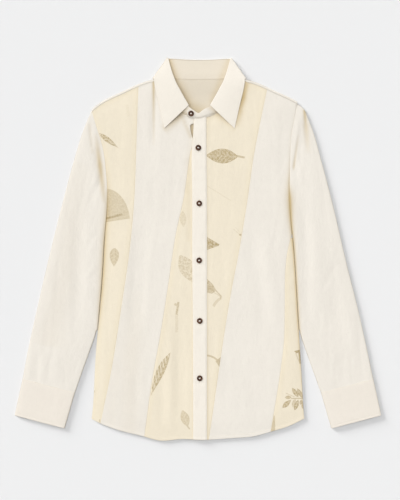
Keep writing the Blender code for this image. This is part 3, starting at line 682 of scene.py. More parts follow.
# Distance from each point to the nearest open edge of its grid, along the grid's lines.
def edgeDistance(grid, around=False):
    along = runLength(grid, 0)
    nearest = np.minimum(along, along[-1:] - along)
    if not around:
        across = runLength(grid, 1)
        nearest = np.minimum(nearest, np.minimum(across, across[:, -1:] - across))
    return nearest


# Painted shade, a warm darkening added where cloth turns down, along its edges, and on a face that faces down onto
# cloth
paintedEdgeShade = {
    "turned": 0.5,
    "turnedFrom": (0.97, 0.5),  # upward share of a face's direction where it starts to be turned
    "edge": 0.2, "under": 0.35,
}
edgeRound = 0.6  # share of the thickness over which an open edge rounds off


# A smooth piece in the shirt's body, from points in millimetres and four-sided faces.
# Each of the fields is kept at the points as an attribute, a vector or one value.
def makePiece(name, points, faces, material, slot, fields):
    mesh = bpy.data.meshes.new(name)
    mesh.vertices.add(len(points))
    mesh.vertices.foreach_set("co", (points * millimetre).ravel())
    mesh.loops.add(faces.size)
    mesh.loops.foreach_set("vertex_index", faces.ravel())
    mesh.polygons.add(len(faces))
    mesh.polygons.foreach_set("loop_start", np.arange(len(faces)) * faces.shape[1])
    mesh.update(calc_edges=True)
    mesh.shade_smooth()
    for field, values in fields.items():
        kind, key = ("FLOAT_VECTOR", "vector") if values.ndim == 2 else ("FLOAT", "value")
        mesh.attributes.new(field, kind, "POINT").data.foreach_set(key, values.ravel())
    mesh.validate()
    mesh.materials.append(material)
    piece = bpy.data.objects.new(name, mesh)
    bpy.context.collection.objects.link(piece)
    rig.ride(piece, "root")
    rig.slot(piece, slot)
    return piece


# One piece from groups of points and faces.
def makeMesh(name, groups, material, slot):
    points, faces = zip(*groups)
    starts = np.cumsum([0] + [len(group) for group in points[:-1]])
    faces = [group + start for group, start in zip(faces, starts)]
    return makePiece(name, np.concatenate(points), np.concatenate(faces), material, slot, {})


# Faces between the neighbouring rows of a grid of point numbers, from its columns here and next.
def gridFaces(here, after):
    return np.stack([here[:-1], after[:-1], after[1:], here[1:]], axis=-1).reshape(-1, 4)


# A thin closed shell on a grid of its outer face, with rounded edges.
# The inner face is thickness under the outer one. At a distance d from an open edge both
# faces close in on the middle as thickness / 2 * (1 - sqrt(1 - (1 - d / r)^2)), r being
# edgeRound * thickness. The attribute cloth holds the weave's two directions and the distance
# to the nearest seam, in millimetres. The second attribute is painted shade, a warm darkening
# where shade falls, and below 0 painted light that makes the cloth paler. look names the material.
def makeCloth(name, grid, thickness, look, cut=None, seam=None, weave=None, around=False, tint=0.0,
              under=0.0):
    rows, columns = grid.shape[:2]
    normal = gridNormals(grid, around)
    far = np.clip(edgeDistance(grid, around) / (thickness * edgeRound), 0, 1)
    closing = (thickness / 2 * (1 - np.sqrt(1 - (1 - far) ** 2)))[..., None]
    outer = grid - normal * closing
    inner = grid - normal * (thickness - closing)
    points = np.concatenate([outer.reshape(-1, 3), inner.reshape(-1, 3)])
    number = np.arange(rows * columns).reshape(rows, columns)
    lower = number + rows * columns
    lower[[0, -1], :] = number[[0, -1], :]  # both faces share the points of the open edges
    if around:
        top = gridFaces(number, np.roll(number, -1, axis=1))
        bottom = gridFaces(lower, np.roll(lower, -1, axis=1))
    else:
        lower[:, [0, -1]] = number[:, [0, -1]]
        top = gridFaces(number[:, :-1], number[:, 1:])
        bottom = gridFaces(lower[:, :-1], lower[:, 1:])
    faces = np.concatenate([top, bottom[:, [0, 3, 2, 1]]])

    used = np.unique(faces)
    renumber = np.zeros(len(points), int)
    renumber[used] = np.arange(len(used))
    u, v = (grid[..., 0], grid[..., 1]) if weave is None else weave
    near = edgeDistance(grid, around) if seam is None else seam
    cloth = np.stack([u + 0 * near, v + 0 * near, near], axis=-1).reshape(-1, 3)
    # Painted shade: a warm darkening added where the cloth turns down, along open edges and on faces that face down
    facing = normal[..., 2]
    turned = fall(np.abs(facing), *paintedEdgeShade["turnedFrom"])
    tint = tint + paintedEdgeShade["turned"] * turned + paintedEdgeShade["edge"] * (1 - far)
    tint = tint + under * ease(np.array([-facing, facing]))
    fields = {"cloth": np.concatenate([cloth, cloth])[used], "tint": tint.ravel()[used]}
    piece = makePiece(name, points[used], renumber[faces], materials[look], slots[look], fields)
    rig.replaces(piece, nodeName(name))
    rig.sheet(piece, **laid(cut or name))


# Materials
# A number or vector in a material, worked out by shader nodes from other fields.
class Field:
    def __init__(self, tree, socket):
        self.tree = tree
        self.socket = socket

    def calc(self, operation, *others):
        node = self.tree.nodes.new("ShaderNodeMath")
        node.operation = operation
        self.tree.links.new(self.socket, node.inputs[0])
        for k, other in enumerate(others):
            if isinstance(other, Field):
                self.tree.links.new(other.socket, node.inputs[k + 1])
            else:
                node.inputs[k + 1].default_value = other
        return Field(self.tree, node.outputs[0])

    # 1 - share * the field.
    def cut(self, share):
        return self * -share + 1.0

    def turned(self):
        return self.cut(1.0)

    # Eases from lowValue to highValue as the field goes from low to high.
    def between(self, low, high, lowValue=0.0, highValue=1.0):
        node = self.tree.nodes.new("ShaderNodeMapRange")
        node.interpolation_type = "SMOOTHSTEP"
        self.tree.links.new(self.socket, node.inputs["Value"])
        node.inputs["From Min"].default_value = low
        node.inputs["From Max"].default_value = high
        node.inputs["To Min"].default_value = lowValue
        node.inputs["To Max"].default_value = highValue
        return Field(self.tree, node.outputs["Result"])

    # Eases from 1 to 0 as the field goes from low to high.
    def fading(self, low, high):
        return self.between(low, high, 1.0, 0.0)


for step, operation in {
    "__add__": "ADD", "__sub__": "SUBTRACT", "__mul__": "MULTIPLY", "__truediv__": "DIVIDE",
    "low": "MINIMUM", "high": "MAXIMUM", "power": "POWER", "size": "ABSOLUTE", "wave": "SINE",
    "part": "FRACT",
}.items():
    setattr(Field, step, lambda field, *others, kind=operation: field.calc(kind, *others))


def vector(x, y, z=0.0):
    node = x.tree.nodes.new("ShaderNodeCombineXYZ")
    for k, value in enumerate((x, y, z)):
        if isinstance(value, Field):
            x.tree.links.new(value.socket, node.inputs[k])
        else:
            node.inputs[k].default_value = value
    return Field(x.tree, node.outputs[0])


# Smooth noise about 0.5.
def noise(place, scale, detail=2.0, roughness=0.5):
    node = place.tree.nodes.new("ShaderNodeTexNoise")
    place.tree.links.new(place.socket, node.inputs["Vector"])
    node.inputs["Scale"].default_value = scale
    node.inputs["Detail"].default_value = detail
    node.inputs["Roughness"].default_value = roughness
    return Field(place.tree, node.outputs["Fac"])


def parts(tree, socket):
    node = tree.nodes.new("ShaderNodeSeparateXYZ")
    tree.links.new(socket, node.inputs[0])
    return [Field(tree, output) for output in node.outputs]


# Blends two colours, given as values or fields, by the share.
def mixed(share, first, second, blend="MIX"):
    node = share.tree.nodes.new("ShaderNodeMix")
    node.data_type = "RGBA"
    node.blend_type = blend
    share.tree.links.new(share.socket, node.inputs[0])
    for socket, colour in ((node.inputs[6], first), (node.inputs[7], second)):
        if isinstance(colour, Field):
            share.tree.links.new(colour.socket, socket)
        else:
            socket.default_value = (*colour, 1)
    return Field(share.tree, node.outputs[2])


def newMaterial(name):
    material = bpy.data.materials.new(name)
    material.use_nodes = True
    tree = material.node_tree
    return material, tree, tree.nodes["Principled BSDF"]


# The place on the finished piece, as fields in millimetres.
def placeOn(tree):
    node = tree.nodes.new("ShaderNodeTexCoord")
    return [axis / millimetre for axis in parts(tree, node.outputs["Object"])]


def stored(tree, name):
    node = tree.nodes.new("ShaderNodeAttribute")
    node.attribute_name = name
    return node.outputs


# Bumps from a height in millimetres.
def roughen(tree, shader, height):
    node = tree.nodes.new("ShaderNodeBump")
    node.inputs["Strength"].default_value = 1.0
    node.inputs["Distance"].default_value = millimetre
    tree.links.new(height.socket, node.inputs["Height"])
    tree.links.new(node.outputs["Normal"], shader.inputs["Normal"])


clothLook = {
    "threadPitch": 0.62,  # millimetres between threads
    "threadHeight": 0.045, "slubHeight": 0.1, "crinkleHeight": 0.8, "puckerHeight": 0.6,
    "puckerReach": (0.5, 9),  # millimetres from a seam where the pucker starts and stops to fade
    "acrossSlub": (0.56, 0.78),  # the noise from which a slub starts, and where it is full
    "alongSlub": (0.58, 0.8), "alongShare": 0.7,
    # how much each noise lightens or darkens the colour, over a plain share of it
    "plain": 0.955, "cloudShade": 0.06, "mottleShade": 0.045, "slubShade": -0.035,
    "rim": (3, 14),  # millimetres from a seam over which the rim's colour fades
    "rimWander": 6,
    # The next two are painted light and painted shade: how much paler full painted light makes the cloth, and what
    # full painted shade multiplies its colour by
    "paintedLight": 0.06,  # how much lighter a tint of -1 makes the cloth
    "shade": (0.69, 0.575, 0.355),  # what a full tint multiplies the colour by
    "roughness": 0.88, "specular": 0.18, "sheen": 0.06, "sheenRoughness": 0.55,
    "sheenTint": (1, 0.98, 0.94),
}
clothNoise = {
    # stretch along u and v, shift, scale, detail, roughness
    "acrossSlub": (0.9, 0.045, 0, 1, 2, 0.5), "alongSlub": (0.05, 0.9, 5, 1, 2, 0.5),
    "cloudy": (1, 1, 0, 0.012, 3, 0.5), "mottled": (1, 1, 9, 0.16, 3, 0.6),
    "crinkles": (1.6, 0.8, 3, 0.05, 3, 0.55), "pucker": (1.2, 1.2, 7, 0.16, 1.5, 0.5),
}
printNoise = {
    # shift, scale, detail, roughness
    "grain": (0, 0.25, 5, 0.7), "fine": (4, 1.1, 2, 0.6),
}
colours = {
    "white": (0.845, 0.8, 0.726), "cream": (0.855, 0.775, 0.625), "rim": (0.858, 0.772, 0.608),
    "collar": (0.89, 0.836, 0.748), "cuff": (0.85, 0.791, 0.708),
    "print": (0.51, 0.405, 0.225), "printDark": (0.385, 0.29, 0.145),
}


# The base colour with the leaves printed on it, each place inked by the strongest leaf there.
def printed(base, motifs, x, y):
    grain, fine = (noise(vector(x, y, shift), *looks) for shift, *looks in printNoise.values())
    ink, dark = None, None
    for motif in motifs:
        mask, deep = motif(x, y, grain, fine)
        ink = mask if ink is None else ink.high(mask)
        dark = deep * mask if dark is None else dark.high(deep * mask)
    return mixed(ink, base, mixed(dark, colours["print"], colours["printDark"]))


# Plain-woven cotton with slubs, soft crinkles and seams, printed leaves where given, and painted shade and painted
# light from a stored attribute.
# The weave is sin(u) * sin(v) of the two thread directions. Slubs are noise drawn out along
# the threads, and the crinkles are noise drawn out along the length of the piece.
def clothMaterial(name, colour, motifs=(), crinkle=1.0, rim=None):
    look = clothLook
    material, tree, shader = newMaterial(name)
    u, v, seam = parts(tree, stored(tree, "cloth")["Vector"])
    turn = fullTurn / look["threadPitch"]
    weave = (u * turn).wave() * (v * turn).wave()
    drawn = {key: noise(vector(u * alongU, v * alongV, shift), *looks)
             for key, (alongU, alongV, shift, *looks) in clothNoise.items()}
    slub = drawn["acrossSlub"].between(*look["acrossSlub"])
    slub = slub + drawn["alongSlub"].between(*look["alongSlub"]) * look["alongShare"]
    shade = drawn["cloudy"] * look["cloudShade"] + drawn["mottled"] * look["mottleShade"]
    shade = shade + slub * look["slubShade"] + look["plain"]

    base = colour
    if rim:
        edge = (seam + (drawn["mottled"] - 0.5) * look["rimWander"]).fading(*look["rim"])
        base = mixed(edge, colour, rim)
    if motifs:
        x, y, _ = placeOn(tree)
        base = printed(base, motifs, x, y)
    # Painted shade and painted light: above 0 the colour is multiplied towards a warm brown where shade falls, below 0
    # it is made paler
    tint = Field(tree, stored(tree, "tint")["Fac"])
    shade = shade * tint.low(0.0).cut(look["paintedLight"])
    darkened = mixed(tint.high(0.0).low(1.0), base, look["shade"], "MULTIPLY")
    scaled = tree.nodes.new("ShaderNodeVectorMath")
    scaled.operation = "SCALE"
    tree.links.new(darkened.socket, scaled.inputs[0])
    tree.links.new(shade.socket, scaled.inputs["Scale"])
    tree.links.new(scaled.outputs[0], shader.inputs["Base Color"])

    height = weave * look["threadHeight"] + slub * look["slubHeight"]
    height = height + drawn["crinkles"] * (look["crinkleHeight"] * crinkle)
    nearSeam = seam.fading(*look["puckerReach"])
    height = height + (drawn["pucker"] - 0.5) * nearSeam * (look["puckerHeight"] * crinkle)
    roughen(tree, shader, height)
    shader.inputs["Roughness"].default_value = look["roughness"]
    shader.inputs["Specular IOR Level"].default_value = look["specular"]
    shader.inputs["Sheen Weight"].default_value = look["sheen"]
    shader.inputs["Sheen Roughness"].default_value = look["sheenRoughness"]
    shader.inputs["Sheen Tint"].default_value = (*look["sheenTint"], 1)
    return material


photoPlace = {"middleX": 198.0, "middleY": 249.45, "pixel": 2.1}


# A place on the shirt, in millimetres, from its place in the photo's layout.
def at(px, py):
    pixel = photoPlace["pixel"]
    return ((px - photoPlace["middleX"]) * pixel, (photoPlace["middleY"] - py) * pixel)


# Pairs are the values of a noise, or millimetres, between which a mark fades or grows.
printLook = {
    "edge": (-0.2, 0.9),
    "wobble": 1.6,  # millimetres that the grain moves an edge
    "tipPower": 1.1, "veinSlant": 0.9, "vein": (0.3, 0.46), "veinPale": 0.28,
    "rib": (0.3, 1.1), "ribPale": 0.3, "speckle": (0.44, 0.58), "rim": (0.6, 2.4),
    "rimDark": 0.55, "fine": (0.45, 0.65), "fineDark": 0.4,
}
strokeLook = {"edge": (-0.5, 0.6), "ends": (-0.6, 0.8), "gaps": (0.42, 0.58), "fine": (0.4, 0.7)}
featherLook = {
    "belly": 0.42, "leaflets": 9, "speckle": 0.35,
    "slant": 1.1, "gap": (0.3, 0.44), "from": 0.3, "to": 0.4, "depth": 0.95,
}
patchLook = {
    "speckle": (0.38, 0.6), "rim": (0.4, 2), "rimDark": 0.5, "fine": (0.42, 0.62), "fineDark": 0.7,
}
roundLook = {
    "edge": (-0.2, 1), "wobble": 1.8, "edgeShare": 0.8, "veinFrom": 22,
    "veins": 4.2, "veinWander": 0.3, "vein": (0.34, 0.48), "veinPale": 0.16,
    "ribSlope": 0.1,  # how much steeper the rib is than the lower edge
    "ribWobble": 3, "rib": (0.8, 3.6),
    "ribEnd": (0.55, 0.8),  # shares of reachX between which the rib ends
    "ribInk": 0.65, "speckle": (0.44, 0.62), "speckled": -0.3, "plain": 0.92,
    "rim": (0.4, 1.6), "rimDark": 0.25, "ribDark": (0.5, 0.75),
}


# For places along a drawn line: the share along it, the distance across it, and the share
# kept within 0 to 1. The line's middle moves sideways by bend. The length is given too.
def drawnLine(start, end, bend=0.0):
    (x1, y1), (x2, y2) = start, end
    length = math.hypot(x2 - x1, y2 - y1)
    ux, uy = (x2 - x1) / length, (y2 - y1) / length

    def shares(x, y):
        along = ((x - x1) * ux + (y - y1) * uy) / length
        across = (x - x1) * -uy + (y - y1) * ux
        inside = along.high(0.0).low(1.0)
        if bend:
            across = across - inside * inside.turned() * (4 * bend)
        return along, across, inside

    return length, shares


# How dark the ink is: darker along its rim and where the fine noise is high.
def deepInk(look, away, body, fine):
    rim = away.fading(*look["rim"]) * body
    return (rim * look["rimDark"] + fine.between(*look["fine"]) * look["fineDark"]).low(1.0)


# A printed leaf from its tip to its stem end.
# With a along the leaf from 0 to 1 and c across it, the leaf is where |c| < half * shape(a),
# shape being a power of a times a power of 1 - a, at its fullest at a = belly. Veins are
# stripes of a + 0.9 |c| / length, and the rib is where |c| is small. Grain breaks up the ink.
def leaf(tipX, tipY, stemX, stemY, half, belly=0.45, ink=0.8, veins=7.0, bend=0.0, speckle=0.5):
    look = printLook
    length, shares = drawnLine(at(tipX, tipY), at(stemX, stemY), bend)
    first = look["tipPower"]
    second = first * (1 - belly) / belly
    peak = belly**first * (1 - belly) ** second

    def motif(x, y, grain, fine):
        along, across, inside = shares(x, y)
        shape = inside.power(first) * inside.turned().power(second) / peak
        away = shape * half - across.size() + (grain - 0.5) * look["wobble"]
        body = away.between(*look["edge"])
        stripes = ((along + across.size() * (look["veinSlant"] / length)) * veins).part() - 0.5
        vein = stripes.size().between(*look["vein"])
        rib = across.size().fading(*look["rib"])
        strength = body * grain.between(*look["speckle"]).cut(speckle) * ink
        strength = strength * vein.cut(look["veinPale"]) * rib.cut(look["ribPale"])
        return strength, deepInk(look, away, body, fine)

    return motif


# A stem or mark: a line of the given half width, faded at both ends and broken by grain.
def stroke(startX, startY, endX, endY, half, ink=0.6, broken=0.0, bend=0.0):
    look = strokeLook
    length, shares = drawnLine(at(startX, startY), at(endX, endY), bend)

    def motif(x, y, grain, fine):
        along, across, _ = shares(x, y)
        body = (across.size() * -1.0 + half + (grain - 0.5)).between(*look["edge"])
        ends = (along.low(along.turned()) * length).between(*look["ends"])
        gaps = fine.between(*look["gaps"], 1.0 - broken, 1.0)
        return body * ends * gaps * ink, fine.between(*look["fine"])

    return motif


# A feathery leaf: stripes across it cut one side of its outline into leaflets that point to
# its tip.
def feather(tipX, tipY, stemX, stemY, half, ink=0.8, bend=0.0):
    look = featherLook
    leaflets = look["leaflets"]
    plain = leaf(tipX, tipY, stemX, stemY, half, look["belly"], ink, leaflets, bend, look["speckle"])
    _, shares = drawnLine(at(tipX, tipY), at(stemX, stemY))

    def motif(x, y, grain, fine):
        strength, deep = plain(x, y, grain, fine)
        along, side, _ = shares(x, y)
        stripe = ((along - side * (look["slant"] / half / leaflets)) * leaflets).part() - 0.5
        notch = (side * -1.0).between(-half * look["from"], half * look["to"])
        notch = stripe.size().between(*look["gap"]) * notch
        return strength * notch.cut(look["depth"]), deep

    return motif


# A mark with straight sides: inked where it lies inside all of them, going round the corners
# clockwise. The grain breaks up the ink, and the rim is darker.
def patch(corners, ink=0.8, speckle=0.4):
    look = patchLook
    sides = []
    for (x1, y1), (x2, y2) in zip(corners, corners[1:] + corners[:1]):
        length = math.hypot(x2 - x1, y2 - y1)
        sides.append((x1, y1, (y2 - y1) / length, (x1 - x2) / length))

    def motif(x, y, grain, fine):
        away = None
        for x1, y1, nx, ny in sides:
            far = (x - x1) * nx + (y - y1) * ny
            away = far if away is None else away.low(far)
        away = away + (grain - 0.5) * printLook["wobble"]
        body = away.between(*printLook["edge"])
        strength = body * grain.between(*look["speckle"]).cut(speckle) * ink
        return strength, deepInk(look, away, body, fine)

    return motif


# Part of a large round leaf that runs on under the seam: inside the ellipse
# (x / reachX)^2 + (y / reachY)^2 = 1 about its centre, above a slanting line. The rib is a dark
# band, and veins are stripes of the angle about the centre.
def roundLeaf(centre, reachX, reachY, slope, ribRise, ink):
    look = roundLook
    cx, cy = centre

    def motif(x, y, grain, fine):
        dx, dy = x - cx, y - cy
        wobble = grain - 0.5
        around = ((dx / reachX).power(2.0) + (dy / reachY).power(2.0)).power(0.5)
        away = (around.turned() * (reachX * look["edgeShare"])).low(dy - dx * slope)
        away = away + wobble * look["wobble"]
        body = away.between(*look["edge"])
        fan = (dy / (dx.size() + look["veinFrom"])) * look["veins"] + fine * look["veinWander"]
        vein = (fan.part() - 0.5).size().between(*look["vein"])
        rib = dy - dx * (slope + look["ribSlope"]) - ribRise + wobble * look["ribWobble"]
        rib = rib.size().fading(*look["rib"])
        rib = rib * dx.fading(*(reachX * share for share in look["ribEnd"]))
        strength = body * (grain.between(*look["speckle"]) * look["speckled"] + look["plain"])
        strength = strength * vein.cut(look["veinPale"]) * ink
        strength = strength * (rib * look["ribInk"] + 1.0)
        rim = away.fading(*look["rim"]) * body
        more, plain = look["ribDark"]
        return strength, (rib * (fine * more + plain) + rim * look["rimDark"]).low(1.0)

    return motif


leavesRightSide = (
    leaf(98.6, 133, 120.2, 149.4, 5.6, 0.4, 1, 5, speckle=0.62),
    stroke(127, 105, 128.5, 117, 3, 0.16, 0.9),
    roundLeaf(at(106, 222.4), 51, 71, 0.15, 8, 0.58),
    leaf(114, 267, 114.8, 248, 10.2, 0.62, 0.66, 5, speckle=0.35),
    stroke(99.6, 419.2, 99.8, 421.6, 1.2, 0.5),
    stroke(94.6, 390.2, 94.8, 392.4, 1, 0.4),
)
leavesRightCentre = (
    leaf(183.6, 227.6, 182.6, 210.6, 7.2, 0.52, 0.36, 6, speckle=0.5),
    leaf(179.4, 254.6, 199, 288, 17, 0.4, 0.54, 6, speckle=0.72),
    stroke(178.4, 301.8, 176.6, 314.6, 2.4, 0.78, 0.6),
    stroke(174.4, 303.8, 178.6, 305.6, 2.6, 0.62, 0.5),
    stroke(176.6, 313.8, 176.8, 332.2, 3, 0.28, 0.75),
    feather(170.8, 351.6, 150, 398.2, 8.6, ink=0.92, bend=-3),
    leaf(182.2, 409.4, 188, 426.8, 9.4, 0.5, 0.6, 5, speckle=0.35),
    stroke(186.6, 424.6, 189.8, 429, 1.6, 0.5),
)
leavesLeftCentre = (
    leaf(205.4, 155.6, 238.4, 156.8, 15.8, 0.52, 0.98, 8, speckle=0.42),
    stroke(236, 156, 244.6, 157.8, 2.2, 0.66, 0.2),
    stroke(207.4, 186.2, 230.6, 200.7, 1, 0.26, 0.8),
    stroke(233.2, 229, 239.8, 234.6, 1, 0.28, 0.7),
    stroke(235.4, 227.4, 240.6, 233.6, 0.8, 0.22, 0.8),
    stroke(239.4, 234.2, 241, 235.6, 1.9, 0.72),
    patch((at(203, 234.6), at(219.6, 244.2), at(218.6, 246), at(203, 251.6)), 1.1, 0.55),
    patch((at(203, 274.8), at(212.8, 284), at(216.4, 290.4), at(212, 293.8), at(203, 291.6)),
               0.86, 0.5),
    stroke(212.6, 287, 221.2, 296.4, 1.5, 0.6, 0.4),
    stroke(212, 291, 220.6, 296.6, 1.1, 0.45, 0.5),
    stroke(221, 295.8, 220.2, 299.4, 2, 0.55, 0.2),
    stroke(220, 298.6, 213.4, 306.4, 3, 0.4, 0.3, bend=-1.5),
    stroke(206.6, 355.2, 217.4, 360, 2, 0.62, 0.2, bend=2),
    patch((at(221.2, 356.2), at(219.8, 367.8), at(215.2, 360.8)), 0.72, 0.3),
)
leavesLeftSide = (
    patch((at(293.6, 350.9), at(299.8, 349.4), at(299.6, 352), at(296.4, 353.4)), 1, 0.15),
    stroke(295.4, 352.6, 299.6, 363, 1.2, 0.45, 0.3),
    stroke(299.2, 351.8, 300.4, 363.6, 2.2, 0.9, 0.2),
    leaf(282, 407.8, 291.4, 399, 5.4, 0.44, 1, 4, speckle=0.35),
    leaf(284.4, 397.2, 291.6, 397, 4, 0.5, 0.92, 4, speckle=0.3),
    leaf(291.6, 387.2, 298.4, 397.2, 4.8, 0.52, 1, 4, speckle=0.35),
    leaf(296.8, 387.8, 302.8, 398.4, 4.4, 0.5, 1, 4, speckle=0.35),
    leaf(292.4, 407.4, 295.4, 398.2, 4.6, 0.5, 0.66, 4),
    leaf(294.2, 410.4, 298.4, 398.8, 5, 0.45, 1, 4, speckle=0.35),
    leaf(300.2, 405, 301.6, 399, 3.2, 0.5, 1, 4, speckle=0.35),
    leaf(302.6, 409, 303.2, 399.6, 3.4, 0.4, 1, 4, speckle=0.35),
    stroke(285.8, 393, 294.4, 396.6, 0.9, 0.5, 0.3),
    stroke(290.8, 398.2, 304, 398.2, 1, 0.7),
    patch((at(273.5, 415), at(274.7, 415.2), at(275.6, 436), at(269.6, 436)), 0.62, 0.2),
)

slots = {
    "white": "cotton_white", "sleeve": "cotton_white", "yoke": "cotton_white",
    "collar": "cotton_collar", "cuff": "cotton_collar",
}
materials = {
    "white": clothMaterial("cottonWhite", colours["white"]),
    "collar": clothMaterial("cottonCollar", colours["collar"], crinkle=0.45),
    "sleeve": clothMaterial("cottonSleeve", colours["white"], crinkle=1.1),
    "yoke": clothMaterial("cottonYoke", colours["white"], crinkle=0.8),
    "cuff": clothMaterial("cottonCuff", colours["cuff"], crinkle=0.7),
}
for panel, leaves in (
    ("RightSide", leavesRightSide), ("RightCentre", leavesRightCentre),
    ("LeftCentre", leavesLeftCentre), ("LeftSide", leavesLeftSide),
):
    cream = clothMaterial("cottonCream" + panel, colours["cream"], leaves, rim=colours["rim"])
    materials["cream" + panel], slots["cream" + panel] = cream, "cotton_cream"
print("materials")


# Fronts, placket and back
spacing = {
    "front": 2.9,  # millimetres between the points of a panel's grid
    "frontRows": 3.3, "back": 7,
    "edges": (0, 0.08, 0.25, 0.5, 0.9, 1.6, 3),  # points this far from each edge
    "hem": (0, 0.08, 0.25, 0.5, 0.9, 1.8, 4, 5.6, 6.2, 6.8, 7.6, 9, 11.5),
    "fewest": 3,  # lines across or along a panel, besides those at its edges
    "search": (-420, 380, 3201),  # from, to and number of the heights where borders are tried
    "narrowest": 0.02,
    "centreTop": 214,  # Y where the panel beside the placket ends, under it
    "sideTop": 24,  # Y above the left side panel's upper point
}
seamRelief = {
    "lap": 1.6,  # millimetres that a panel runs on under its neighbour
    "leastLap": 0.01,
    "drop": 0.95,  # how far it sinks there
    "ridge": 0.05,  # the pressed turnings under the side on top
    "ridgeEnd": (8, 2),  # its width, and the run over which it falls
    "hemRise": 0.22, "hemWidth": 6.4,
    "sink": (0.5, 0.9),  # where the step down under a neighbour starts, and its width
    "armhole": (100, 6),  # Y above which the sleeve's head meets the fronts, and its run
    # height and reach of the soft rise at the top and beside the placket, and of stitch dips
    "topRise": (0.22, 2), "placketRise": (0.35, 3), "stitchDip": (-0.22, 0.7),
    "hemStep": (7.6, 1.4),  # where the folded hem ends, and its run
}


def border(rows, value="x"):
    return lambda y: curve(rows, "y", value, y)


bodyRight, bodyLeft = border(rightEdge), border(leftEdge)
placketLeft, placketRight = border(placketStrip, "left"), border(placketStrip, "right")


def nearer(first, second):
    return lambda y: np.minimum(first(y), second(y))


def level(y):
    return lambda x: np.full(np.shape(x), float(y))


# Shares and offsets of lines from one side to the other, close together at both sides.
def placed(count, start, end):
    shares = [0.0] * len(start) + list(np.linspace(0, 1, count + 1)[1:-1]) + [1.0] * len(end)
    low = list(start) + [start[-1]] * (count - 1 + len(end))
    high = [end[-1]] * (count - 1 + len(start)) + list(end)[::-1]
    return np.array(shares), np.array(low), np.array(high)


# Plan of a panel: columns blend its two borders, and each runs from lower to upper edge.
# x = (1 - s) (left + a) + s (right - b) and y = (1 - r) (low + a) + r (high - b), where the
# offsets a and b bring the outermost lines close to the panel's edges.
def panelPlan(left, right, top, bottom, columnGap, rowGap, sides, ends):
    fine = np.linspace(*spacing["search"])
    width = np.max(right(fine) - left(fine))
    shareX, lowX, highX = placed(max(spacing["fewest"], round(width / columnGap)), *sides)
    narrowest = spacing["narrowest"]
    heights = []

    def columnAt(s, a, b, y):
        gap = np.maximum(right(y) - left(y), narrowest)
        fit = np.minimum(1.0, gap / (lowX.max() + highX.max() + narrowest))
        return (1 - s) * (left(y) + a * fit) + s * (left(y) + gap - b * fit)

    for column in zip(shareX, lowX, highX):
        x = columnAt(*column, fine)
        above, below = fine - bottom(x), top(x) - fine
        first = np.argmax((above >= 0) & (below >= 0))
        last = first + np.argmax((below < 0)[first:])
        low = np.interp(0, above[first - 1 : first + 1], fine[first - 1 : first + 1])
        high = np.interp(0, -below[last - 1 : last + 1], fine[last - 1 : last + 1])
        heights.append((low, high))
    tallest = max(high - low for low, high in heights)
    shareY, lowY, highY = placed(max(spacing["fewest"], round(tallest / rowGap)), *ends)
    y = np.array([(1 - shareY) * (low + lowY) + shareY * (high - highY) for low, high in heights])
    x = np.array([columnAt(*column) for column in zip(shareX, lowX, highX, y)])
    return x.T, y.T


# The folded hem: a low step up to its stitch line, with a dip along the stitches.
def hemRise(distance):
    relief = seamRelief
    step = relief["hemRise"] * fall(distance, *relief["hemStep"])
    return step + bump(distance - relief["hemWidth"], *relief["stitchDip"])


# One panel of the fronts.
# laps says for the left and the right side how it is joined: "over" a neighbour, with a low
# ridge of turnings, "under" one, running on beneath it, "armhole" where the side runs into
# the sleeve's head and lies against the sleeve below, or "free".
def makePanel(name, left, right, top, look, laps):
    relief = seamRelief
    reach = {
        "over": lambda y: 0 * y,
        "under": lambda y: relief["lap"] + 0 * y,
        "armhole": lambda y: relief["lap"] * grow(y, *relief["armhole"]),
        "free": lambda y: 0 * y,
    }
    outerLeft = lambda y: left(y) - reach[laps[0]](y)
    outerRight = lambda y: right(y) + reach[laps[1]](y)
    edges = spacing["edges"]
    x, y = panelPlan(outerLeft, outerRight, top, hemY, spacing["front"], spacing["frontRows"],
                     (edges, edges), (spacing["hem"], edges))
    fromTop = top(x) - y
    seam = np.maximum(fromTop, 0)
    z = frontFace(x, y)
    for distance, lap in ((x - left(y), laps[0]), (right(y) - x, laps[1])):
        if lap == "over":
            z += relief["ridge"] * fall(distance, *relief["ridgeEnd"])
        if lap in ("under", "armhole"):
            lapped = reach[lap](y) > relief["leastLap"]
            z -= relief["drop"] * fall(distance, *relief["sink"]) * lapped
        if lap != "free":
            seam = np.minimum(seam, np.abs(distance))
    half = body["placketHalf"]
    fromPlacket = np.abs(x - placketLeft(y) - half) - half
    z += bump(fromTop, *relief["topRise"]) + bump(fromPlacket, *relief["placketRise"])
    z += hemRise(y - hemY(x))
    # Painted shade beside the body's sides, beside the placket and along the lines of frontShades
    tint = sideShade(rightSideShade, x - bodyRight(y), y)
    tint = tint + sideShade(leftSideShade, bodyLeft(y) - x, y)
    tint = tint + sideShade(placketShade, fromPlacket, y)
    tint = np.maximum(tint, shadeLines(frontShades, x, y))
    makeCloth(name, np.dstack([x, y, z]), wall["cloth"], look, seam=seam, tint=tint,
              under=paintedEdgeShade["under"])


# Painted shade, warm, in the crease beside an edge: depth * exp(-distance / width), given as rows of y.
def sideShade(shade, distance, y):
    depth, width = curve(shade, "y", "depth", y), curve(shade, "y", "width", y)
    return depth * np.exp(-np.maximum(distance, 0) / width)


rightSideShade = table(
    "y depth width",
    (-420, 0, 2), (-200, 0.05, 2), (-150, 0.55, 3), (60, 0.7, 4.5), (150, 0.4, 4), (200, 0.08, 3),
    (292, 0.04, 3),
)
leftSideShade = table(
    "y depth width",
    (-420, 0.1, 2), (-300, 0.4, 2), (-180, 0.9, 2.4), (40, 1.1, 3.4), (110, 1.2, 4.8), (145, 0.8, 4),
    (175, 0.35, 3), (210, 0.15, 2.4), (304, 0.08, 3),
)
placketShade = table("y depth width", (-420, 0.26, 1.6), (0, 0.2, 2), (290, 0.16, 3))


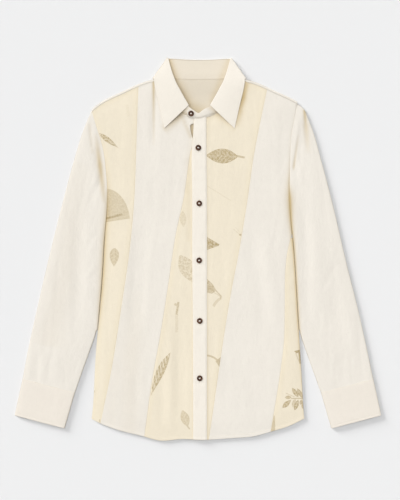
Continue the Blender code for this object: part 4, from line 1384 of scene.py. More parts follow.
# The CAD node a piece stands for, such as right_front_side for rightFrontSide.
def nodeName(name):
    return "".join("_" + c.lower() if c.isupper() else c for c in name)


def front(y):
    return border(rightFrontEdge)(y)


def tucked(y):
    return placketRight(y) - body["bandTuck"]


# What each piece was cut to, of what shows: width and length in metres, area, what it lies on
cuts = {
    "rightFrontSide": (0.1, 0.72, 0.04, "back"),
    "rightFrontMiddle": (0.195, 0.755, 0.074, "back"),
    "rightFrontCentre": (0.11, 0.62, 0.034, "back"),
    "leftFrontCentre": (0.135, 0.755, 0.045, "back"),
    "leftFrontMiddle": (0.186, 0.74, 0.076, "back"),
    "leftFrontSide": (0.072, 0.41, 0.013, "back"),
    "placket": (0.0325, 0.685, 0.0209, "leftFrontCentre", "buttonBand"),
    "buttonBand": (0.024, 0.685, 0.0153, "back"),
    "back": (0.445, 0.607, 0.243, "floor"), "yoke": (0.436, 0.165, 0.056, "floor"),
    "sleeve": (0.4, 0.6, 0.118, "floor"), "cuff": (0.23, 0.08, 0.0182, "floor"),
    "collarFall": (0.47, 0.075, 0.0215, "yoke"),
    "collarStand": (0.44, 0.045, 0.0145, "yoke"),
}


def laid(name):
    width, length, area, *under = cuts[name]
    return {"flat": (width, length), "area": area, "held": "laid", "rests_on": under}


def makeFronts():
    rightMiddleEnd = nearer(border(rightCentreBorder), front)
    leftMiddleEnd = nearer(border(leftSideBorder), bodyLeft)
    panels = (
        # name, left and right borders, top, material, laps
        ("rightFrontSide", bodyRight, border(rightSideBorder), frontTop,
         "creamRightSide", ("armhole", "under")),
        ("rightFrontMiddle", border(rightSideBorder), rightMiddleEnd, frontTop,
         "white", ("over", "over")),
        ("rightFrontCentre", border(rightCentreBorder), front, level(spacing["centreTop"]),
         "creamRightCentre", ("under", "free")),
        ("leftFrontCentre", tucked, border(leftCentreBorder), frontTop,
         "creamLeftCentre", ("free", "under")),
        ("leftFrontMiddle", border(leftCentreBorder), leftMiddleEnd, frontTop,
         "white", ("over", "armhole")),
        ("leftFrontSide", border(leftSideBorder), bodyLeft, level(spacing["sideTop"]),
         "creamLeftSide", ("under", "free")),
    )
    for panel in panels:
        makePanel(*panel)


placketLook = {
    "stitchInset": 2.3,
    "edgeDips": (0.5, 1),  # how far the left and the right edge bend down to the front
    "edgeBend": (3.4, 3.8),  # millimetres from the edge where the bend starts, and its width
    "edges": (0, 0.1, 0.3, 0.6, 1, 1.6, 2.1, 2.6, 3.2),
    "stitchDip": (-0.24, 0.7),  # depth and reach
    "buttonDip": (-0.35, 8.5),
    "buttonDipLong": 0.8,  # the dip round a button is this much weaker with distance along Y
    "swell": (1.7, 0.07),  # how much finer than on the fronts, and how high
    "ripple": (0.1, 0.21, 1.7, 0.043),  # height, waves along Y, how far they wander, how slowly
    "grid": (1.9, 2.2),  # between columns and rows
    "bandGrid": (4, 6),
    "hemShare": 0.6,  # of the fronts' hem
    "bandInset": 0.8,
    "bandTop": 150,  # above this Y the band's edge stays straight
    # painted shade on the button band, which shows only in the opening beside the tab
    "bandPaintedShade": 0.8,
    "shade": (200, 40),  # Y from which the collar's shade reaches the placket, and its run
}
stitchHalf = 0.6  # half the width of a line of stitches


# Upper face of the placket: flat across, dipped at its stitches and round the buttons.
# Its ripples are height * sin(a y + b sin(c y)).
def placketFace(x, y):
    look = placketLook
    fromLeft = x - placketLeft(y)
    fromRight = placketRight(y) - x
    z = frontHeight(x, y) + wall["cad"] + wall["gap"] + wall["placket"]
    for distance, edgeDip in zip((fromLeft, fromRight), look["edgeDips"]):
        z = z + bump(distance - look["stitchInset"], *look["stitchDip"])
        z = z - edgeDip * fall(distance, *look["edgeBend"])
    finer, swell = look["swell"]
    height, wave, wander, slow = look["ripple"]
    z = z + rumpleRise(x * finer, y * finer, swell) + height * np.sin(y * wave + wander * np.sin(y * slow))
    for bx, by in buttonPlaces:
        z = z + bump(np.hypot(x - bx, (y - by) * look["buttonDipLong"]), *look["buttonDip"])
    return z


def makePlacket():
    look = placketLook
    edges = spacing["edges"]
    x, y = panelPlan(placketLeft, placketRight, frontTop, hemY, *look["grid"],
                     (look["edges"], look["edges"]), (spacing["hem"], edges))
    grid = np.dstack([x, y, placketFace(x, y) + hemRise(y - hemY(x)) * look["hemShare"]])
    inset = look["stitchInset"]
    seam = np.minimum(np.abs(x - placketLeft(y) - inset), np.abs(placketRight(y) - x - inset))
    seam = seam + stitchHalf
    # Painted shade where the collar's shadow falls on the placket
    tint = shadeLines(frontShades, x, y) * grow(y, *look["shade"])
    makeCloth("placket", grid, wall["placket"] - wall["gap"], "collar", seam=seam, tint=tint,
              under=paintedEdgeShade["under"])

    bandLeft = lambda y: front(np.minimum(y, look["bandTop"])) + look["bandInset"]
    bandRight = lambda y: tucked(y) - wall["gap"]
    x, y = panelPlan(bandLeft, bandRight, frontTop, hemY, *look["bandGrid"], (edges, edges), (edges, edges))
    grid = np.dstack([x, y, frontHeight(x, y) + wall["cad"]])
    makeCloth("buttonBand", grid, wall["cloth"], "collar", tint=look["bandPaintedShade"])


backLook = {
    "swell": 0.12, "lift": 0.1,
    "sideFade": 25,  # millimetres over which the creases fade out at each edge
    "hemFade": 30,
    "topFade": (200, 20),  # Y where they end, and the run
}


# The plain back, level underneath, with low creases over its thickness.
def makeBack():
    look = backLook
    left = lambda y: bodyRight(y) + body["backInset"]
    right = lambda y: bodyLeft(y) - body["backInset"]
    bottom = lambda x: hemY(x) + body["backInset"]
    edges = spacing["edges"]
    x, y = panelPlan(left, right, level(body["yokeSeamY"]), bottom, spacing["back"], spacing["back"],
                     (edges, edges), (spacing["hem"], edges))
    lift = foldRise(backCreases, x, y) + rumpleRise(x, y, look["swell"]) + look["lift"]
    fade = ease(np.minimum(x - left(y), right(y) - x) / look["sideFade"])
    fade = fade * ease((y - bottom(x)) / look["hemFade"]) * fall(y, *look["topFade"])
    grid = np.dstack([x, y, wall["cad"] + np.maximum(lift, 0) * fade])
    makeCloth("back", grid, wall["cad"], "white")


# Painted shade inside the neck, before the lines of neckShades are added; below 0, on the stand's front, it is painted
# light
neckShade = {"yoke": 0.36, "opening": 0.42, "stand": 0.26, "standFront": -0.15}
yokeLook = {
    # from, to and number of the columns' distances from the middle of the neck
    "columns": ((0, 84, 22), (84, 112, 23), (112, 219, 28)),
    "sideGap": 0.6, "columnGap": 3.4,
    "turn": (87, 6),  # distance from the middle where the shoulder's fold starts, and the run
    "neckTop": 358.9,
    "edgeShare": 145,  # height over which the lowest rows are spread
    "rows": (0.04, 1, 30), "bendSteps": 14,
    "lip": (0, 0.8, 1.6, 2.1, 2.5, 2.75, 2.92, 3),
    "shortened": 0.65,
    "neckOut": (88, 6),  # the neck's shade lies within this distance and above this Y
    "neckY": (224, 8),
    "openingY": (268, 8),  # below it the shade is deeper, in the opening beside the tab
}


# Middle of the yoke's cloth: up the back, then over each shoulder in a half circle.
# Each line of the grid goes straight back to the shoulder's crease, on along a half circle
# of the bend's radius and down a straight lip. At the neck it stays flat instead.
def yokeGrid():
    look = yokeLook
    bend, gap = body["shoulderBend"], look["sideGap"]
    outs = np.unique(np.concatenate([np.linspace(*part) for part in look["columns"]]))
    rightX, leftX = rightEdge["x"][-1] + gap, leftEdge["x"][-1] - gap
    across = np.concatenate([-outs[:0:-1], outs]) + body["neckX"]
    across = across[(across > rightX + look["columnGap"]) & (across < leftX - look["columnGap"])]
    steps = np.array(spacing["edges"])
    across = np.concatenate([rightX + steps, across, (leftX - steps)[::-1]])
    out = np.abs(across - body["neckX"])
    turn = grow(out, *look["turn"])
    folded = curve(shoulder, "out", "y", out) - bend - wall["cad"] / 2
    neckTop = look["neckTop"] - (math.pi * bend + body["shoulderLip"])
    top = neckTop + (folded - neckTop) * turn
    share = (across - rightX) / (leftX - rightX)
    start = body["yokeSeamY"]
    lines = []
    for row in np.concatenate([steps / look["edgeShare"], np.linspace(*look["rows"])]):
        y = start + (top - start) * row
        edgeRight, edgeLeft = bodyRight(y) + gap, bodyLeft(y) - gap
        x = edgeRight + (edgeLeft - edgeRight) * share
        lines.append(np.stack([x, y, neckLift(x, y) + wall["cad"] / 2], axis=-1))
    lip, count = np.diff(look["lip"]), look["bendSteps"]
    lengths = [math.pi * bend / count] * count + list(lip)
    middles = [(k + 0.5) / count for k in range(count)] + [1.0] * len(lip)
    shortened = 1 - look["shortened"] * np.sin(math.pi * turn)
    last = lines[-1].copy()
    for length, middle in zip(lengths, middles):
        angle = math.pi * turn * middle
        last = last + np.stack([0 * out, shortened * length * np.cos(angle),
                                shortened * length * np.sin(angle)], axis=-1)
        lines.append(last)
    return np.array(lines)


def makeYoke():
    look = yokeLook
    grid = yokeGrid()
    x, y = grid[..., 0], grid[..., 1]
    inNeck = fall(np.abs(x - body["neckX"]), *look["neckOut"]) * grow(y, *look["neckY"])
    inOpening = neckShade["opening"] * fall(y, *look["openingY"])
    # Painted shade inside the neck, deeper in the opening beside the tab
    tint = (neckShade["yoke"] + inOpening + shadeLines(neckShades, x, y)) * inNeck
    makeCloth("yoke", grid + gridNormals(grid) * wall["cad"] / 2, wall["cad"], "yoke", tint=tint)


makeBack()
makeYoke()
makeFronts()
makePlacket()
print("body")


# Sleeves and cuffs
sides = {
    -1: {"name": "right", "edge": rightEdge, "shape": rightSleeveShape, "folds": rightSleeveFolds,
         "creases": rightSleeveCreases, "shade": rightSideShade, "lines": rightSleeveShades},
    1: {"name": "left", "edge": leftEdge, "shape": leftSleeveShape, "folds": leftSleeveFolds,
        "creases": leftSleeveCreases, "shade": leftSideShade, "lines": leftSleeveShades},
}


# The outer and inner end of a section, given as distances to the side and heights in Y.
def sectionEnds(side, row):
    outer = np.array([side * row["outerOut"], row["outerY"]])
    return outer, np.array([side * row["innerOut"], row["innerY"]])


# The two ends of a section, kept just clear of the body where the sleeve lies against it.
def creasedEdges(side, t):
    rows = sides[side]["shape"]
    row = {name: float(curve(rows, "t", name, t)) for name in rows}
    outer, inner = sectionEnds(side, row)
    if t > 0 and inner[1] > sleeve["partY"]:
        inner[0] = border(sides[side]["edge"])(inner[1]) + side * sleeve["sideCrease"]
    return outer, inner, row["top"]


# Places across one face of a tube, from -1 to 1 and closer together at its creases.
def acrossFace(points):
    return np.sin(np.linspace(-math.pi / 2, math.pi / 2, points))


# One flattened section, from its outer crease to its inner one and back underneath.
# The rounding is (1 - |a|^p)^(1/p) for a from -1 to 1 across it, so both faces are flat and
# meet in a rounded crease.
def tubeRing(outer, inner, across, top, edge, bow, folds, fine, dip):
    middle, reach = (outer + inner) / 2, (inner - outer) / 2
    plan = middle + reach * across[:, None] + bow
    power = sleeve["power"]
    roundOff = (1 - np.abs(across) ** power) ** (1 / power)
    above = edge / 2 + (top - dip - edge / 2) * roundOff
    under = edge / 2 * (1 - roundOff)
    x, y = plan[:, 0], plan[:, 1]
    if folds:
        above = above + (1 - np.abs(across) ** sleeve["foldPower"]) * foldRise(folds, x, y)
        alongX, alongY = sleeve["swellTurn"]
        swell = rumpleRise(x * alongX + y * alongY, y * alongX, sleeve["swell"])
        crease = foldRise(fine, x, y) + swell
        held = 1 - np.abs(across) ** sleeve["creasePower"]
        above = above + held * crease
        under = under + sleeve["underShare"] * held * np.maximum(crease, 0)
    upper = np.column_stack([plan, above])
    lower = np.column_stack([plan, under])
    return np.concatenate([upper, lower[-2:0:-1]])


# A tube from its rings, with the weave running round it and along it.
def makeTube(kind, rings, side, thickness, seam, across, faceWidth, tint=0.0):
    grid = np.array(rings)
    half = (across + 1) / 2 * faceWidth
    around = np.concatenate([half, 2 * faceWidth - half[-2:0:-1]])
    tint, u, seam = (np.broadcast_to(part, grid.shape[:2]) for part in (tint, around, seam[:, None]))
    v = runLength(grid[:, :1], 0) + 0 * u
    if side < 0:
        grid, u, v, tint = grid[:, ::-1], u[:, ::-1], v[:, ::-1], tint[:, ::-1]
    makeCloth(sides[side]["name"] + kind.capitalize(), grid, thickness, kind, kind, seam, (u, v),
              True, tint)


# The top end's section bows to follow the armhole, less and less down to capFade.
def makeSleeve(side):
    own = sides[side]
    edgeLine = border(own["edge"])
    across = acrossFace(sleeve["points"])
    outer, inner, _ = creasedEdges(side, 0)
    chord = outer + (inner - outer) * (across[:, None] + 1) / 2
    bow = np.zeros_like(chord)
    bow[:, 0] = edgeLine(chord[:, 1]) + side * sleeve["armholeGap"] - chord[:, 0]
    ends, length = np.array(sleeve["ends"]), sleeve["length"]
    shares = np.concatenate([ends, np.linspace(*sleeve["rings"]), 1 - ends[::-1]])
    rings = []
    for t in shares:
        outer, inner, top = creasedEdges(side, t)
        straight = 1 - ease(t / sleeve["capFade"])
        dip = bump(t * length, *sleeve["endDip"])
        rings.append(tubeRing(outer, inner, across, top, sleeve["edge"], bow * straight,
                              own["folds"], own["creases"], dip))
    x, y = np.array(rings)[..., 0], np.array(rings)[..., 1]
    # Painted shade in the crease where the sleeve lies against the body, and along its folds near the armhole
    tint = sideShade(own["shade"], side * (x - edgeLine(y)) - sleeve["sideCrease"], y)
    tint = tint * fall(y, *sleeve["shadeTop"])
    tint = np.maximum(tint, shadeLines(own["lines"], x, y))
    makeTube("sleeve", rings, side, wall["cloth"], np.minimum(shares, 1 - shares) * length, across,
             sleeve["faceWidth"], tint)


cuffLook = {
    "stitchIn": 2,  # from the sleeve's seam
    "stitchOut": 5,  # from the free end
    "length": 78,
    "points": 49,  # across one face
    "near": (0, 0.1, 0.3, 0.6, 1, 1.5, 2, 2.5, 3.2),  # rings this far from the seam
    "far": (0, 0.1, 0.3, 0.6, 1, 2.2, 4.2, 4.7, 5.3, 5.9, 7),  # and from the free end
    "rings": (5.2, 69, 26),
    "seamDip": (0.3, 1),  # depth and reach
    "stitchDip": (0.22, 0.6),
    "swell": (1.4, 0.1),  # how much finer than on the fronts, and how high
    "faceWidth": 113,
}


def cuffSection(side, t):
    place = {name: ends[0] + (ends[1] - ends[0]) * t for name, ends in cuffEnds.items()}
    return sectionEnds(side, place)


def makeCuff(side):
    look = cuffLook
    across, length = acrossFace(look["points"]), look["length"]
    finer, swell = look["swell"]
    near, far = np.array(look["near"]), np.array(look["far"])
    places = np.concatenate([near, np.linspace(*look["rings"]), length - far[::-1]])
    fromIn, fromOut = places - look["stitchIn"], length - places - look["stitchOut"]
    dips = bump(places, *look["seamDip"]) + bump(fromIn, *look["stitchDip"])
    dips = dips + bump(fromOut, *look["stitchDip"])
    rings = []
    for place, dip in zip(places, dips):
        outer, inner = cuffSection(side, place / length)
        ring = tubeRing(outer, inner, across, sleeve["cuffTop"], sleeve["cuffEdge"], 0, None, None, dip)
        face = ring[: len(across)]
        rise = rumpleRise(face[:, 0] * finer, face[:, 1] * finer, swell)
        face[:, 2] += rise * (1 - np.abs(across) ** sleeve["foldPower"])
        rings.append(ring)
    stitches = np.minimum(np.abs(fromIn), np.abs(fromOut)) + stitchHalf
    makeTube("cuff", rings, side, wall["cuff"], np.minimum(places, stitches), across,
             look["faceWidth"])


for side in (-1, 1):
    makeSleeve(side)
    makeCuff(side)
print("sleeves and cuffs")


# Collar
# Lines of half the collar, from a leaf's front edge to the middle of the back.
# At each step: the fall's free edge, its roll, the outward normal at the roll and the bottom
# edge of the stand, as (out, y, z). At the neck's side each line turns under in a half
# circle: height low + bend (1 + cos angle), plan moved inwards by bend (1 - sin angle).
def collarHalf():
    free, roll, normal, seam = [], [], [], []
    low = collar["fallFloor"]
    sideFree, sideRoll, sideSeam = (np.array(collar[n]) for n in ("sideFree", "sideRoll", "sideSeam"))
    along = unit(sideRoll - sideFree)
    inward = np.array([-along[1], along[0]])
    folds = (
        (sideFree, collar["sideBend"][0], low), (sideRoll, collar["sideBend"][1], low),
        (sideSeam, collar["standSideBend"], collarBack["seamZ"][0]),
    )

    def sideFold(angle):
        places = []
        for line, bend, base in folds:
            plan = line + inward * (wall["cad"] / 2 + bend * (1 - math.sin(angle)))
            places.append(np.array([*plan, base + bend * (1 + math.cos(angle))]))
        return places

    start = np.concatenate(sideFold(0))
    leaf = {n: np.append(rows, value) for (n, rows), value in zip(collarFront.items(), start)}
    leaf["t"] = np.array(collar["leafShares"])
    for t in np.concatenate([collar["leafLines"], np.linspace(*collar["leafRest"])]):
        row = [float(curve(leaf, "t", n, t)) for n in collarFront]
        free.append(row[0:3])
        roll.append(row[3:6])
        seam.append(row[6:9])
        normal.append([0, 0, 1])
    for angle in np.linspace(0, math.pi, collar["sideLines"]):
        for part, place in zip((free, roll, seam), sideFold(angle)):
            part.append(place)
        normal.append([*(-inward * math.sin(angle)), math.cos(angle)])
    side = (*free[-1][:2], *roll[-1][:2], *seam[-1])
    back = {n: np.append(value, rows) for (n, rows), value in zip(collarBack.items(), side)}
    back["t"] = np.arange(len(back["seamZ"]), dtype=float)
    for t in np.linspace(*collar["backLines"]):
        row = [float(curve(back, "t", n, t)) for n in collarBack]
        free.append([*row[0:2], low])
        roll.append([*row[2:4], low])
        seam.append(row[4:7])
        normal.append([0, 0, -1])
    return [np.array(part, float) for part in (free, roll, normal, seam)]


# The right half in front, then the left half back to its leaf, from (out, y, z).
def mirrored(half):
    right = half.copy()
    right[:, 0] = body["neckX"] - half[:, 0]
    left = half[:-1][::-1].copy()
    left[:, 0] = body["neckX"] + left[:, 0]
    return np.concatenate([right, left])


collarStitches = []


# The fall with its two leaves: z rises as sin(pi / 2 * v) from the free edge to the roll,
# then the cloth turns under.
def makeFall(free, roll, normal, toward):
    reach = np.linalg.norm(roll - free, axis=1)[:, None]
    lines = []
    shares = [inset / reach for inset in collar["fallEdge"]]
    for v in shares + [rest + 0 * reach for rest in np.linspace(*collar["fallRest"])]:
        point = free + (roll - free) * v
        rise = np.sin(np.pi / 2 * v)
        point[:, 2] = free[:, 2] + (roll[:, 2] - free[:, 2]) * rise[:, 0]
        lines.append(point)
    for angle in np.linspace(0, math.pi, collar["rollSteps"])[1:]:
        bend = toward * math.sin(angle) - normal * (1 - math.cos(angle))
        lines.append(roll + collar["rollBend"] * bend)
    grid = np.array(lines).transpose(1, 0, 2)
    fromStitch = edgeDistance(grid) - collar["stitchIn"]
    outward = wall["cad"] / 2 - bump(fromStitch, *collar["stitchDip"])
    outside = grid + gridNormals(grid) * outward[..., None]
    # Painted light on the left leaf, blended in across the middle
    leftness = 0.5 + 0.5 * np.clip((grid[..., 0] - body["neckX"]) / collar["leafBlend"], -1, 1)
    makeCloth("collarFall", outside, wall["cad"], "collar", seam=np.abs(fromStitch) + stitchHalf,
              weave=(runLength(grid, 0), runLength(grid, 1)), tint=-collar["leafPaintedLight"] * leftness,
              under=paintedEdgeShade["under"])
    number, inset, last = collar["stitchRows"]
    for leaf in (outside[:number], outside[-number:][::-1]):
        collarStitches.append(np.concatenate([leaf[inset, inset:last][::-1], leaf[inset:, inset]]))


# The stand inside the fall, with the buttoned tab: z falls as w^1.6 from under the roll to
# the neck seam, and its lower edge sinks.
def makeStand(roll, normal, seam, toward):
    topLine = roll - 2 * collar["rollBend"] * normal - collar["standInset"] * toward
    ends = []
    for rows, count in zip((rightStandEnd, leftStandEnd), collar["endLines"]):
        knots = {**rows, "t": np.linspace(0, 1, len(rows["topX"]))}
        ends.append(np.array([curve(knots, "t", n, np.linspace(0, 1, count)) for n in rows]).T)
    topLine = np.concatenate([ends[0][:, :3], topLine, ends[1][:, :3]])
    bottom = np.concatenate([ends[0][:, 3:], seam, ends[1][:, 3:]])
    inFront, atBack = collar["seamSink"]
    lines = []
    for w in [*collar["standEdge"], *np.linspace(*collar["standRest"]), *collar["standFoot"]]:
        point = topLine + (bottom - topLine) * w
        point[:, 2] = topLine[:, 2] + (bottom[:, 2] - topLine[:, 2]) * w ** collar["standPower"]
        sink = inFront + (atBack - inFront) * grow(point[:, 1], *collar["sinkY"])
        point[:, 2] -= sink * grow(w, *collar["sink"])
        lines.append(point)
    grid = np.array(lines).transpose(1, 0, 2)
    x, y = grid[..., 0], grid[..., 1]
    # Painted shade on the stand inside the neck and under the leaves, and painted light on its front
    inFront, atBack = neckShade["standFront"], neckShade["stand"]
    ground = inFront + (atBack - inFront) * grow(y, *collar["shadeY"])
    inNeck = shadeLines(neckShades, x, y) * grow(y, *collar["neckY"])
    tint = ground + np.maximum(shadeLines(frontShades, x, y), inNeck) * collar["shadeShare"]
    makeCloth("collarStand", grid + gridNormals(grid) * wall["cad"] / 2, wall["cad"], "collar",
              weave=(runLength(grid, 0), runLength(grid, 1)), tint=tint)


def makeCollar():
    free, roll, normal, seam = collarHalf()
    free, roll, seam = mirrored(free), mirrored(roll), mirrored(seam)
    normal = np.concatenate([normal * (-1, 1, 1), normal[:-1][::-1]])
    toward = unit((roll - free) * (1, 1, 0))
    makeFall(free, roll, normal, toward)
    makeStand(roll, normal, seam, toward)


makeCollar()
print("collar")


# Thread
threadLook = {
    "pitch": 2.7,  # millimetres from one stitch to the next
    "length": 2, "radius": 0.19, "lift": 0.1, "sink": 0.05,
    "firstAt": 0.3,  # share of the pitch before the first stitch
    "squareness": (6, 3),  # how bluntly a thread ends
    "endShare": 0.985, "colour": (0.86, 0.8, 0.68), "buttonThread": (0.93, 0.88, 0.8),
    "pale": 1.04,  # the lightest and the darkest share of the colour
    "dull": 0.93,
    "twist": (9, 0.5, 0.03),  # waves of twist, how they follow Z, and their height
    "unevenNoise": (0.3, 2), "roughness": 0.7, "sheen": 0.15,
}


def threadMaterial(name, colour):
    look = threadLook
    material, tree, shader = newMaterial(name)
    x, y, z = placeOn(tree)
    wave, alongZ, height = look["twist"]
    roughen(tree, shader, ((x + y + z * alongZ) * wave).wave() * height)
    uneven = noise(vector(x, y, z), *look["unevenNoise"])
    dull, pale = (tuple(c * look[key] for c in colour) for key in ("dull", "pale"))
    tree.links.new(mixed(uneven, dull, pale).socket, shader.inputs["Base Color"])
    shader.inputs["Roughness"].default_value = look["roughness"]
    shader.inputs["Sheen Weight"].default_value = look["sheen"]
    return material


# Short round threads from starts to ends, as points and faces.
# Along each, the radius is radius * (1 - s^6)^(1/3) for s from -1 to 1, and the middle
# rises by lift * (1 - s^2).
def strands(starts, ends, radius, lift, count=6, rings=5):
    s = np.sin(np.linspace(-math.pi / 2, math.pi / 2, rings)) * threadLook["endShare"]
    along = ends - starts
    direction = unit(along)
    up = np.zeros_like(direction)
    up[:, 2] = 1.0
    across = unit(np.cross(direction, up))
    normal = np.cross(across, direction)
    angle = np.arange(count) * fullTurn / count
    power, root = threadLook["squareness"]
    width = radius * (1 - np.abs(s) ** power) ** (1 / root)
    middle = (starts + ends)[:, None] / 2 + along[:, None] / 2 * s[None, :, None]
    middle = middle + up[:, None] * (lift * (1 - s**2))[None, :, None]
    ring = across[:, None] * np.cos(angle)[None, :, None] + normal[:, None] * np.sin(angle)[None, :, None]
    points = middle[:, :, None] + ring[:, None] * width[None, :, None, None]
    number = np.arange(len(starts) * rings * count).reshape(len(starts), rings, count)
    after = np.roll(number, -1, axis=2)
    faces = np.stack([number[:, :-1], after[:, :-1], after[:, 1:], number[:, 1:]], axis=-1)
    return points.reshape(-1, 3), faces.reshape(-1, 4)


# Stitches along a path of points: one every pitch, each a little shorter than the pitch.
def stitchLine(path):
    run = np.concatenate([[0], np.cumsum(np.linalg.norm(np.diff(path, axis=0), axis=1))])
    pitch = threadLook["pitch"]
    begin = np.arange(pitch * threadLook["firstAt"], run[-1] - pitch, pitch)
    starts, ends = (np.column_stack([np.interp(place, run, path[:, k]) for k in range(3)])
                    for place in (begin, begin + threadLook["length"]))
    sink = np.array([0, 0, threadLook["sink"]])
    return strands(starts - sink, ends - sink, threadLook["radius"], threadLook["lift"])


stitchPlaces = {
    # points on a line before it is cut into stitches: seams, hems, shoulders, armholes, cuffs
    "points": (400, 200, 100, 120, 60),
    # Y from and to, and the least distance from the hem and the top
    "placket": (-397, 274, 2, 2),
    # X from and to of the hem's lines, then the placket's with its number of points
    "hems": ((-221, -14), (23, 221)), "placketHem": (-9.5, 18, 24), "hemSink": 0.12,
    "placketHemSink": 0.1, "panelInset": 1.9, "panelEnds": (9, 3),
    "shoulder": (101, 213),  # from and to, as distances from the middle of the neck
    "shoulderInset": 1.7, "armholeInset": 4, "armholeFrom": 104,
    "cuff": 0.93,  # share of half the cuff's width
    "cuffSink": 0.18,
}
panelStitches = (
    # border, side of it, Y from and to
    (rightSideBorder, 1, -372, 318), (rightCentreBorder, -1, -388, 206),
    (leftCentreBorder, 1, -390, 324), (leftSideBorder, -1, -376, 16),
)
armholeStitches = ((rightEdge, 1, 283), (leftEdge, -1, 294))  # side, which way in, Y at the top


# The lines of stitches: placket, hem, panel laps, shoulders, armholes, cuffs and collar.
def makeStitches():
    look = stitchPlaces
    lines = []
    seams, hems, shoulders, armholes, cuffs = look["points"]

    def stitch(x, y, face, rise=0.0, fromHem=-math.inf, fromTop=-math.inf):
        keep = (y > hemY(x) + fromHem) & (y < frontTop(x) - fromTop)
        lines.append(np.column_stack([x, y, face(x, y) + rise])[keep])

    low, high, fromHem, fromTop = look["placket"]
    for edge, way in ((placketLeft, 1), (placketRight, -1)):
        y = np.linspace(low, high, seams)
        x = edge(y) + way * placketLook["stitchInset"]
        stitch(x, y, placketFace, 0.0, fromHem, fromTop)
    hem, rise = seamRelief["hemWidth"], seamRelief["hemRise"]
    for ends in look["hems"]:
        x = np.linspace(*ends, hems)
        stitch(x, hemY(x) + hem, frontFace, rise - look["hemSink"])
    x = np.linspace(*look["placketHem"])
    stitch(x, hemY(x) + hem, placketFace, rise / 2 - look["placketHemSink"])
    for rows, way, low, high in panelStitches:
        y = np.linspace(low, high, seams)
        stitch(border(rows)(y) + way * look["panelInset"], y, frontFace, seamRelief["ridge"],
               *look["panelEnds"])
    out = np.linspace(*look["shoulder"], shoulders)
    inset = body["shoulderBend"] + wall["cad"] / 2 + look["shoulderInset"]
    onYoke = lambda x, y: neckLift(x, y) + wall["cad"] + 2 * body["shoulderBend"] + 0 * x
    for way in (-1, 1):
        stitch(body["neckX"] + way * out, curve(shoulder, "out", "y", out) - inset, onYoke)
    for rows, way, top in armholeStitches:
        y = np.linspace(look["armholeFrom"], top, armholes)
        stitch(border(rows)(y) + way * look["armholeInset"], y, frontFace)
    across = np.linspace(-look["cuff"], look["cuff"], cuffs)
    roundOff = (1 - np.abs(across) ** sleeve["power"]) ** (1 / sleeve["power"])
    half = sleeve["cuffEdge"] / 2
    z = half + (sleeve["cuffTop"] - look["cuffSink"] - half) * roundOff
    for side in (-1, 1):
        for place in (cuffLook["stitchIn"], cuffLook["length"] - cuffLook["stitchOut"]):
            outer, inner = cuffSection(side, place / cuffLook["length"])
            plan = (outer + inner) / 2 + (inner - outer) / 2 * across[:, None]
            lines.append(np.column_stack([plan, z]))
    groups = [stitchLine(line) for line in lines + collarStitches]
    makeMesh("stitches", groups, threadMaterial("thread", threadLook["colour"]), "cotton_collar")


makeStitches()
print("stitches")


# Buttons
buttonLook = {
    "radius": 6, "rise": 2.4,
    "dish": 1.25,  # height of the dish's floor
    "dishBlend": 0.05,
    "dishRings": (0.52, 0.48),  # shares of the radius of two rings just inside the profile
    "holeAt": 1.28,  # of each hole from the middle, along X and along Y
    "holeRadius": (0.62, 0.22),  # and the run of its edge
    "holeFloor": 0.15, "points": 72, "floorRings": (0.46, 0, 17),
    "holeRings": 12,  # rings of points outside the ones that a hole lowers
    "colour": (0.058, 0.021, 0.009), "paleColour": (0.12, 0.05, 0.022),
    "swirlNoise": (0.22, 3), "swirl": 9, "bandWave": (0.5, 0.35), "band": (0.45, 1),
    "scratchStretch": (3, 0.6), "scratchNoise": (1.2, 3),
    "roughness": (0.34, 0.2),  # the least, and how much the scratches add
    "specular": 0.3, "collarPlace": (-14.5, 284.4, 10.6), "collarTilt": 13,
}
# From the middle of the button's back, round its rim and down to its dish
buttonProfile = table(
    "radius height",
    (0.3, 0), (0.8, 0), (0.88, 0.05), (0.95, 0.2), (0.99, 0.42), (1, 0.6), (0.985, 0.78), (0.94, 0.92),
    (0.87, 0.99), (0.8, 1), (0.74, 0.97), (0.68, 0.88), (0.62, 0.74), (0.57, 0.6),
)
sewingLook = {
    "alongShare": 1.1,  # how far past its holes a strand starts, as a share of their distance
    "sideShare": 0.8, "along": (-0.4, 0, 0.4), "alongSkew": 0.6, "alongSink": 0.1,
    "across": (-0.75, -0.25, 0.25, 0.75), "acrossSkew": 0.8, "acrossRise": 0.3, "radius": 0.6,
    "lift": 0.8, "count": 8, "rings": 9,
}
holeLook = {
    "half": 7.6,  # half the length of a buttonhole
    "reach": 1.05, "pitch": 0.5, "slit": 0.18, "slant": 0.1,
    "rises": (0.12, 0.02, 0.06),  # inner ends, outer ends and the bars at both ends
    "bars": (0.3, 1.2, 4), "radius": 0.24, "lift": 0.05,
}


# Dark horn-like brown under a soft gloss, with bands of a paler brown: the sine of x / 2 and
# y / 3, moved by noise.
def buttonMaterial():
    look = buttonLook
    material, tree, shader = newMaterial("buttonBrown")
    x, y, z = placeOn(tree)
    swirl = noise(vector(x, y, z), *look["swirlNoise"]) * look["swirl"]
    alongX, alongY = look["bandWave"]
    band = ((x * alongX + y * alongY + swirl).wave() * 0.5 + 0.5).between(*look["band"])
    brown = mixed(band, look["colour"], look["paleColour"])
    tree.links.new(brown.socket, shader.inputs["Base Color"])
    stretchX, stretchY = look["scratchStretch"]
    least, more = look["roughness"]
    rough = noise(vector(x * stretchX, y * stretchY, z), *look["scratchNoise"]) * more + least
    tree.links.new(rough.socket, shader.inputs["Roughness"])
    shader.inputs["Specular IOR Level"].default_value = look["specular"]
    return material


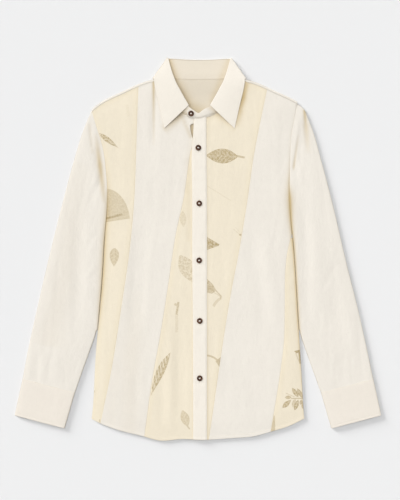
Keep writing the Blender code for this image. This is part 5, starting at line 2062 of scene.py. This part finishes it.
# A turned button as rings of points, with four holes in the floor of its dish.
# Radius and height follow a profile from the middle of the back, round the rim and into
# the dish. Each hole lowers the floor within its radius.
def buttonSurface():
    look = buttonLook
    floor, at = look["dish"], look["holeAt"]
    turn = np.arange(look["points"]) * fullTurn / look["points"]
    flat = np.linspace(*look["floorRings"])
    radius = np.concatenate([buttonProfile["radius"], look["dishRings"], flat])[:, None] * look["radius"]
    z = np.concatenate([buttonProfile["height"] * look["rise"], [floor + look["dishBlend"], floor],
                        floor + 0 * flat])[:, None] + 0 * turn
    x, y = radius * np.cos(turn), radius * np.sin(turn)
    inDish = (np.arange(len(z)) > look["holeRings"])[:, None]
    for sx, sy in ((1, 1), (1, -1), (-1, 1), (-1, -1)):
        far = np.hypot(x - sx * at, y - sy * at)
        z = z - (floor - look["holeFloor"]) * fall(far, *look["holeRadius"]) * inDish
    number = np.arange(z.size).reshape(z.shape)
    return np.stack([x, y, z], axis=-1).reshape(-1, 3), gridFaces(number, np.roll(number, -1, axis=1))


# Strands of thread through the holes: two rows along Y, and one broad row across them.
def buttonThreads():
    look = sewingLook
    d, z = buttonLook["holeAt"], buttonLook["dish"]
    reach = d * look["alongShare"]
    starts, ends = [], []
    for way in (-1, 1):
        for shift in look["along"]:
            side = way * d * look["sideShare"]
            starts.append((side + shift, -reach, z - look["alongSink"]))
            ends.append((side - shift * look["alongSkew"], reach, z - look["alongSink"]))
    for shift in look["across"]:
        starts.append((-reach, shift, z + look["acrossRise"]))
        ends.append((reach, -shift * look["acrossSkew"], z + look["acrossRise"]))
    return strands(np.array(starts), np.array(ends), look["radius"], look["lift"], look["count"],
                   look["rings"])


# A worked buttonhole up the placket: close stitches down both sides and across its ends.
def buttonhole(x, y, face):
    look = holeLook
    half, reach = look["half"], look["reach"]
    inner, outer, bars = look["rises"]
    rows = y + np.arange(-half, half + look["pitch"] / 2, look["pitch"])
    starts, ends = [], []
    for way in (-1, 1):
        near, far = np.full_like(rows, x + way * look["slit"]), np.full_like(rows, x + way * reach)
        starts.append(np.column_stack([near, rows, face(near, rows) + inner]))
        ends.append(np.column_stack([far, rows + look["slant"], face(far, rows) + outer]))
    for way in (-1, 1):
        bar = y + way * (half + np.linspace(*look["bars"]))
        for places, side in ((starts, -reach), (ends, reach)):
            across = np.full_like(bar, x + side)
            places.append(np.column_stack([across, bar, face(across, bar) + bars]))
    return strands(np.concatenate(starts), np.concatenate(ends), look["radius"], look["lift"])


# Five buttons down the placket, and one tilted on the collar's tab.
def makeButtons():
    brown = buttonMaterial()
    white = threadMaterial("buttonThread", threadLook["buttonThread"])
    places = []
    for k, (x, y) in enumerate(buttonPlaces):
        z = float(frontHeight(x, y)) + wall["cad"] + wall["placket"] + 2 * wall["gap"]
        places.append((f"button_{k + 1}", x, y, z, 0.0))
    places.append(("button_collar", *buttonLook["collarPlace"], buttonLook["collarTilt"]))
    threads, holes = [], []
    for node, x, y, z, tilt in places:
        c, s = math.cos(math.radians(tilt)), math.sin(math.radians(tilt))
        turned = lambda p: np.column_stack([p[:, 0] + x, p[:, 1] * c - p[:, 2] * s + y,
                                            p[:, 1] * s + p[:, 2] * c + z])
        points, faces = buttonSurface()
        name = "button" + node.split("_")[1].capitalize()
        piece = makeMesh(name, [(turned(points), faces)], brown, "button_brown")
        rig.replaces(piece, node)
        points, faces = buttonThreads()
        threads.append((turned(points), faces))
        if not tilt:
            holes.append(buttonhole(x, y, placketFace))
    makeMesh("buttonThreads", threads, white, "cotton_collar")
    makeMesh("buttonholes", holes, threadMaterial("holeThread", threadLook["colour"]), "cotton_collar")


makeButtons()
print("buttons")


# The end
size = {"cad": [list(corner) for corner in cadBox], "scene": [list(corner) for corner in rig.bounds()]}
with open("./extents.json", "w") as out:
    json.dump(size, out)
